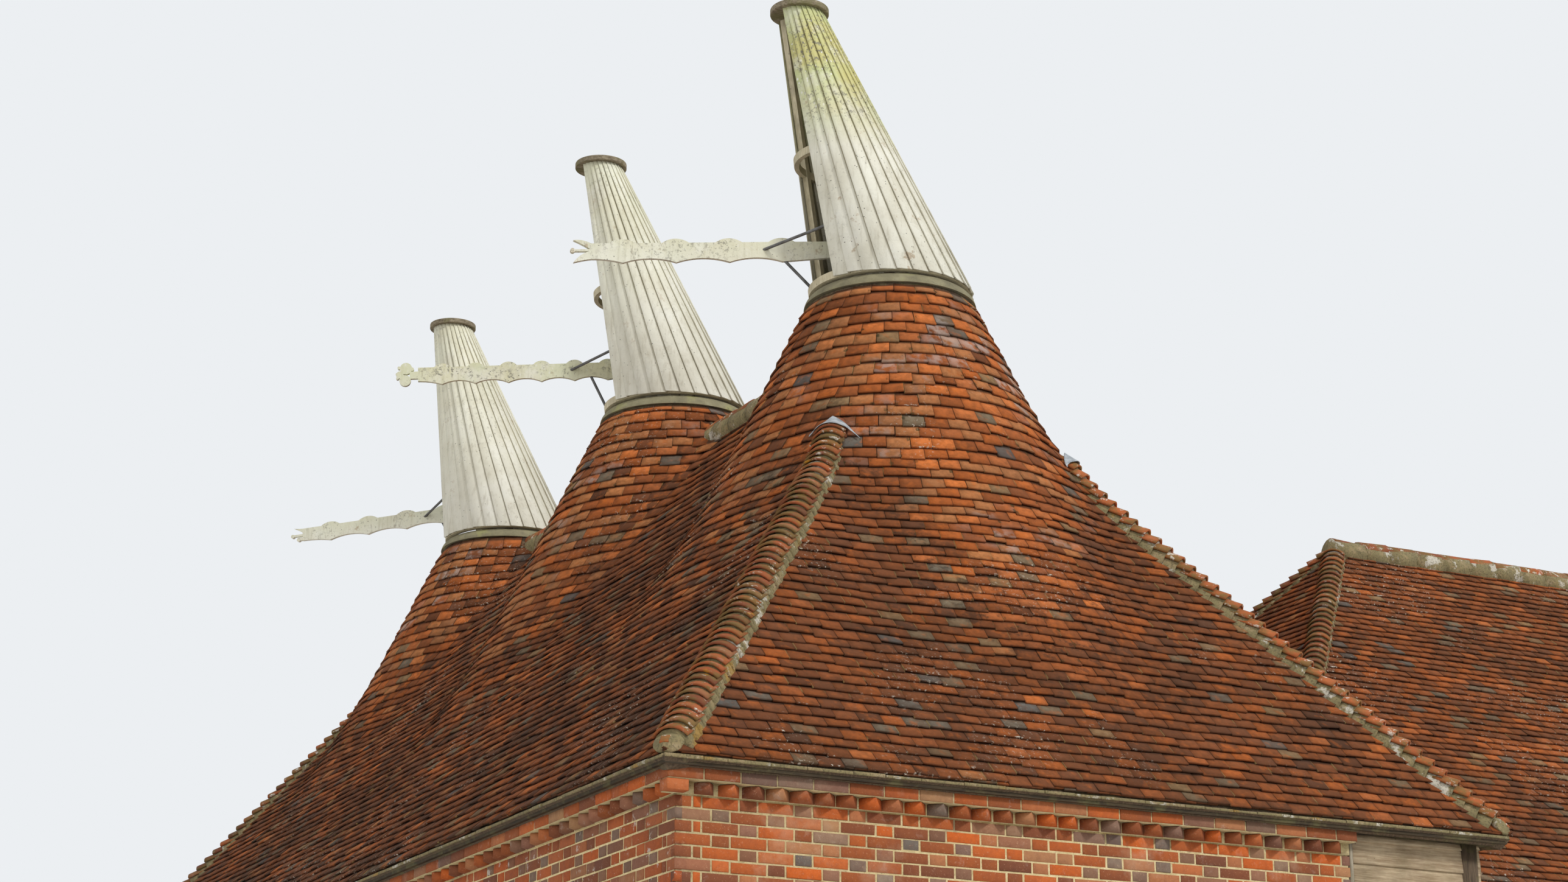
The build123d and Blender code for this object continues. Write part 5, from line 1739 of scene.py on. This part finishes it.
@dataclass
class Stage:
    """Floor, background, lamps and the camera at the photograph's viewing angle."""

    eye: tuple[float, float, float] = (-9.837, -14.920, 1.616)
    heading: float = 27.415
    pitch: float = 17.483
    roll: float = -0.0023
    lens: float = 67.57

    def camera(self) -> None:
        """Sets the camera up."""
        heading, pitch = math.radians(self.heading), math.radians(self.pitch)
        forward = Vector((math.sin(heading) * math.cos(pitch), math.cos(heading) * math.cos(pitch),
                          math.sin(pitch)))
        level = Vector((math.cos(heading), -math.sin(heading), 0.0))
        above = level.cross(forward)
        right = level * math.cos(self.roll) + above * math.sin(self.roll)
        up = right.cross(forward)
        camera = bpy.data.objects.new("camera", bpy.data.cameras.new("camera"))
        bpy.context.scene.collection.objects.link(camera)
        camera.matrix_world = Matrix((right, up, -forward)).transposed().to_4x4()
        camera.location = self.eye
        camera.data.lens = self.lens
        camera.data.sensor_width = 36.0
        camera.data.clip_end = 300.0
        bpy.context.scene.camera = camera

    def sun(self, name: str, travel: tuple[float, float, float], strength: float, softness: float) -> None:
        """Adds a soft lamp that shines in one direction."""
        lamp = bpy.data.objects.new(name, bpy.data.lights.new(name, "SUN"))
        lamp.data.energy = strength
        lamp.data.angle = math.radians(softness)
        lamp.rotation_mode = "QUATERNION"
        lamp.rotation_quaternion = Vector(travel).to_track_quat("-Z", "Y")
        bpy.context.scene.collection.objects.link(lamp)

    def surroundings(self) -> None:
        """Makes the pale floor and the plain background."""
        world = bpy.data.worlds.new("studio")
        world.use_nodes = True
        bpy.context.scene.world = world
        tree = world.node_tree
        plain = tree.nodes["Background"]
        plain.inputs["Color"].default_value = (1.0, 1.0, 1.0, 1.0)
        plain.inputs["Strength"].default_value = 0.62
        seen = tree.nodes.new("ShaderNodeBackground")
        seen.inputs["Color"].default_value = (*paint(236, 239, 242), 1.0)
        path = tree.nodes.new("ShaderNodeLightPath")
        looks = path.outputs["Is Camera Ray"]
        for ray in ("Is Glossy Ray", "Is Transmission Ray"):
            either = tree.nodes.new("ShaderNodeMath")
            either.operation = "MAXIMUM"
            tree.links.new(looks, either.inputs[0])
            tree.links.new(path.outputs[ray], either.inputs[1])
            looks = either.outputs[0]
        choice = tree.nodes.new("ShaderNodeMixShader")
        tree.links.new(looks, choice.inputs[0])
        tree.links.new(plain.outputs[0], choice.inputs[1])
        tree.links.new(seen.outputs[0], choice.inputs[2])
        tree.links.new(choice.outputs[0], tree.nodes["World Output"].inputs["Surface"])
        bm = bmesh.new()
        bmesh.ops.create_grid(bm, x_segments=8, y_segments=8, size=90.0,
                              matrix=Matrix.Translation((5.5, 6.0, -0.004)))
        s = Shader("pale_floor")
        tone = s.ramp(s.noise(0.4, 2.0), (0.3, paint(216, 215, 211)), (0.7, paint(222, 221, 217)))
        settle("floor", bm, [s.done(tone, 0.9)])

    def build(self) -> None:
        """Sets up everything that isn't the house."""
        self.camera()
        self.surroundings()
        self.sun("key", (-0.30, 0.70, -0.66), 1.75, 9.0)
        self.sun("fill", (0.75, 0.45, -0.5), 0.35, 40.0)
        bpy.context.scene.view_settings.view_transform = "Standard"


def main() -> None:
    """Builds the house piece by piece."""
    logging.basicConfig(level=logging.INFO, format="%(name)s %(message)s")
    stock = Stock()
    Stage().build()
    near_left, near_right = (-HALF_WIDTH, NEAR_FACE), (HALF_WIDTH, NEAR_FACE)
    far_left = (-HALF_WIDTH, FAR_FACE)
    right, left, away, toward = (1, 0), (-1, 0), (0, 1), (0, -1)
    walls = (
        (BrickWall("end_wall_bricks", near_left, right, toward, 4.70), "end_wall"),
        (BrickWall("long_wall_bricks", near_left, away, left, RANGE_LENGTH, Bond.HEADER_FIRST, soiled=0.8),
         "long_wall"),
        (BrickWall("far_wall_bricks", far_left, right, away, 4.70), "far_end_wall"))
    rows = (
        (Cornice("end_cornice_bricks", (-2.965, NEAR_FACE), right, toward, 4.785, square_first=0.14),
         "end_cornice"),
        (Cornice("long_cornice_bricks", near_left, away, left, RANGE_LENGTH), "long_cornice"),
        (Cornice("far_cornice_bricks", (1.82, FAR_FACE), left, away, 4.785, square_last=0.14),
         "far_end_cornice"))
    for pieces, seed in ((walls, WALL_SEED), (rows, CORNICE_SEED)):
        for number, (piece, node) in enumerate(pieces):
            adopt(piece.build(stock, seed + number), "root", "brick", node)
    kilns, wing = KilnRoof(), WingRoof()
    kilns.build(stock)
    KilnCoverings(kilns).build(stock)
    wing.build(stock)
    WingCoverings(wing).build(stock)
    cowls = zip(AXES, (8.958, 9.118, 8.908), (162.0, 154.0, 132.5))
    for number, (axis, foot, heading) in enumerate(cowls, 1):
        Cowl(number, axis, foot, heading).build(stock)
    boarding = [stock.boarding, stock.rough_timber]
    clad = (
        (Weatherboarding("back_wall_boarding", near_right, away, right, RANGE_LENGTH), "back_wall"),
        (Weatherboarding("wing_front_boarding", (HALF_WIDTH, 2.4585), right, toward, 10.97),
         "wing_front_wall"),
        (Weatherboarding("wing_back_boarding", (HALF_WIDTH, 9.5185), right, away, 10.97), "wing_back_wall"),
        (Weatherboarding("wing_end_boarding", (13.85, 2.6085), away, right, 6.76), "wing_end_wall"))
    for number, (wall, node) in enumerate(clad):
        adopt(lay(wall.name, wall.laid(BOARD_SEED + number), boarding), "root", "weatherboard", node)
    panels = []
    for seed, y, out in ((PANEL_SEED, NEAR_FACE, toward), (PANEL_SEED + 1, FAR_FACE, away)):
        panels.append(Weatherboarding("panel", (1.93, y), right, out, 0.80).laid(seed)[0])
        boards = Weatherboarding("panel", (1.845, y), right, out, 0.885, show=0.145)
        panels.append(boards.cladding(np.random.default_rng(seed)))
    adopt(lay("panel_boarding", panels, boarding), "root", "weatherboard", "boarded_panels")
    CornerPosts().build(stock)
    eaves = ((EAVES_HALF, EAVES_FAR), (-EAVES_HALF, EAVES_FAR),
             (-EAVES_HALF, EAVES_NEAR), (EAVES_HALF, EAVES_NEAR))
    Undercloak("kiln_undercloak", eaves).build(stock, UNDERCLOAK_SEED)
    dress("eaves_boards", stock.eaves_timber)
    dress("wing_eaves_boards", stock.eaves_timber)
    dress("wing_valley_beam", stock.rough_timber)
    bpy.context.view_layer.update()


if __name__ == "__main__":
    main()
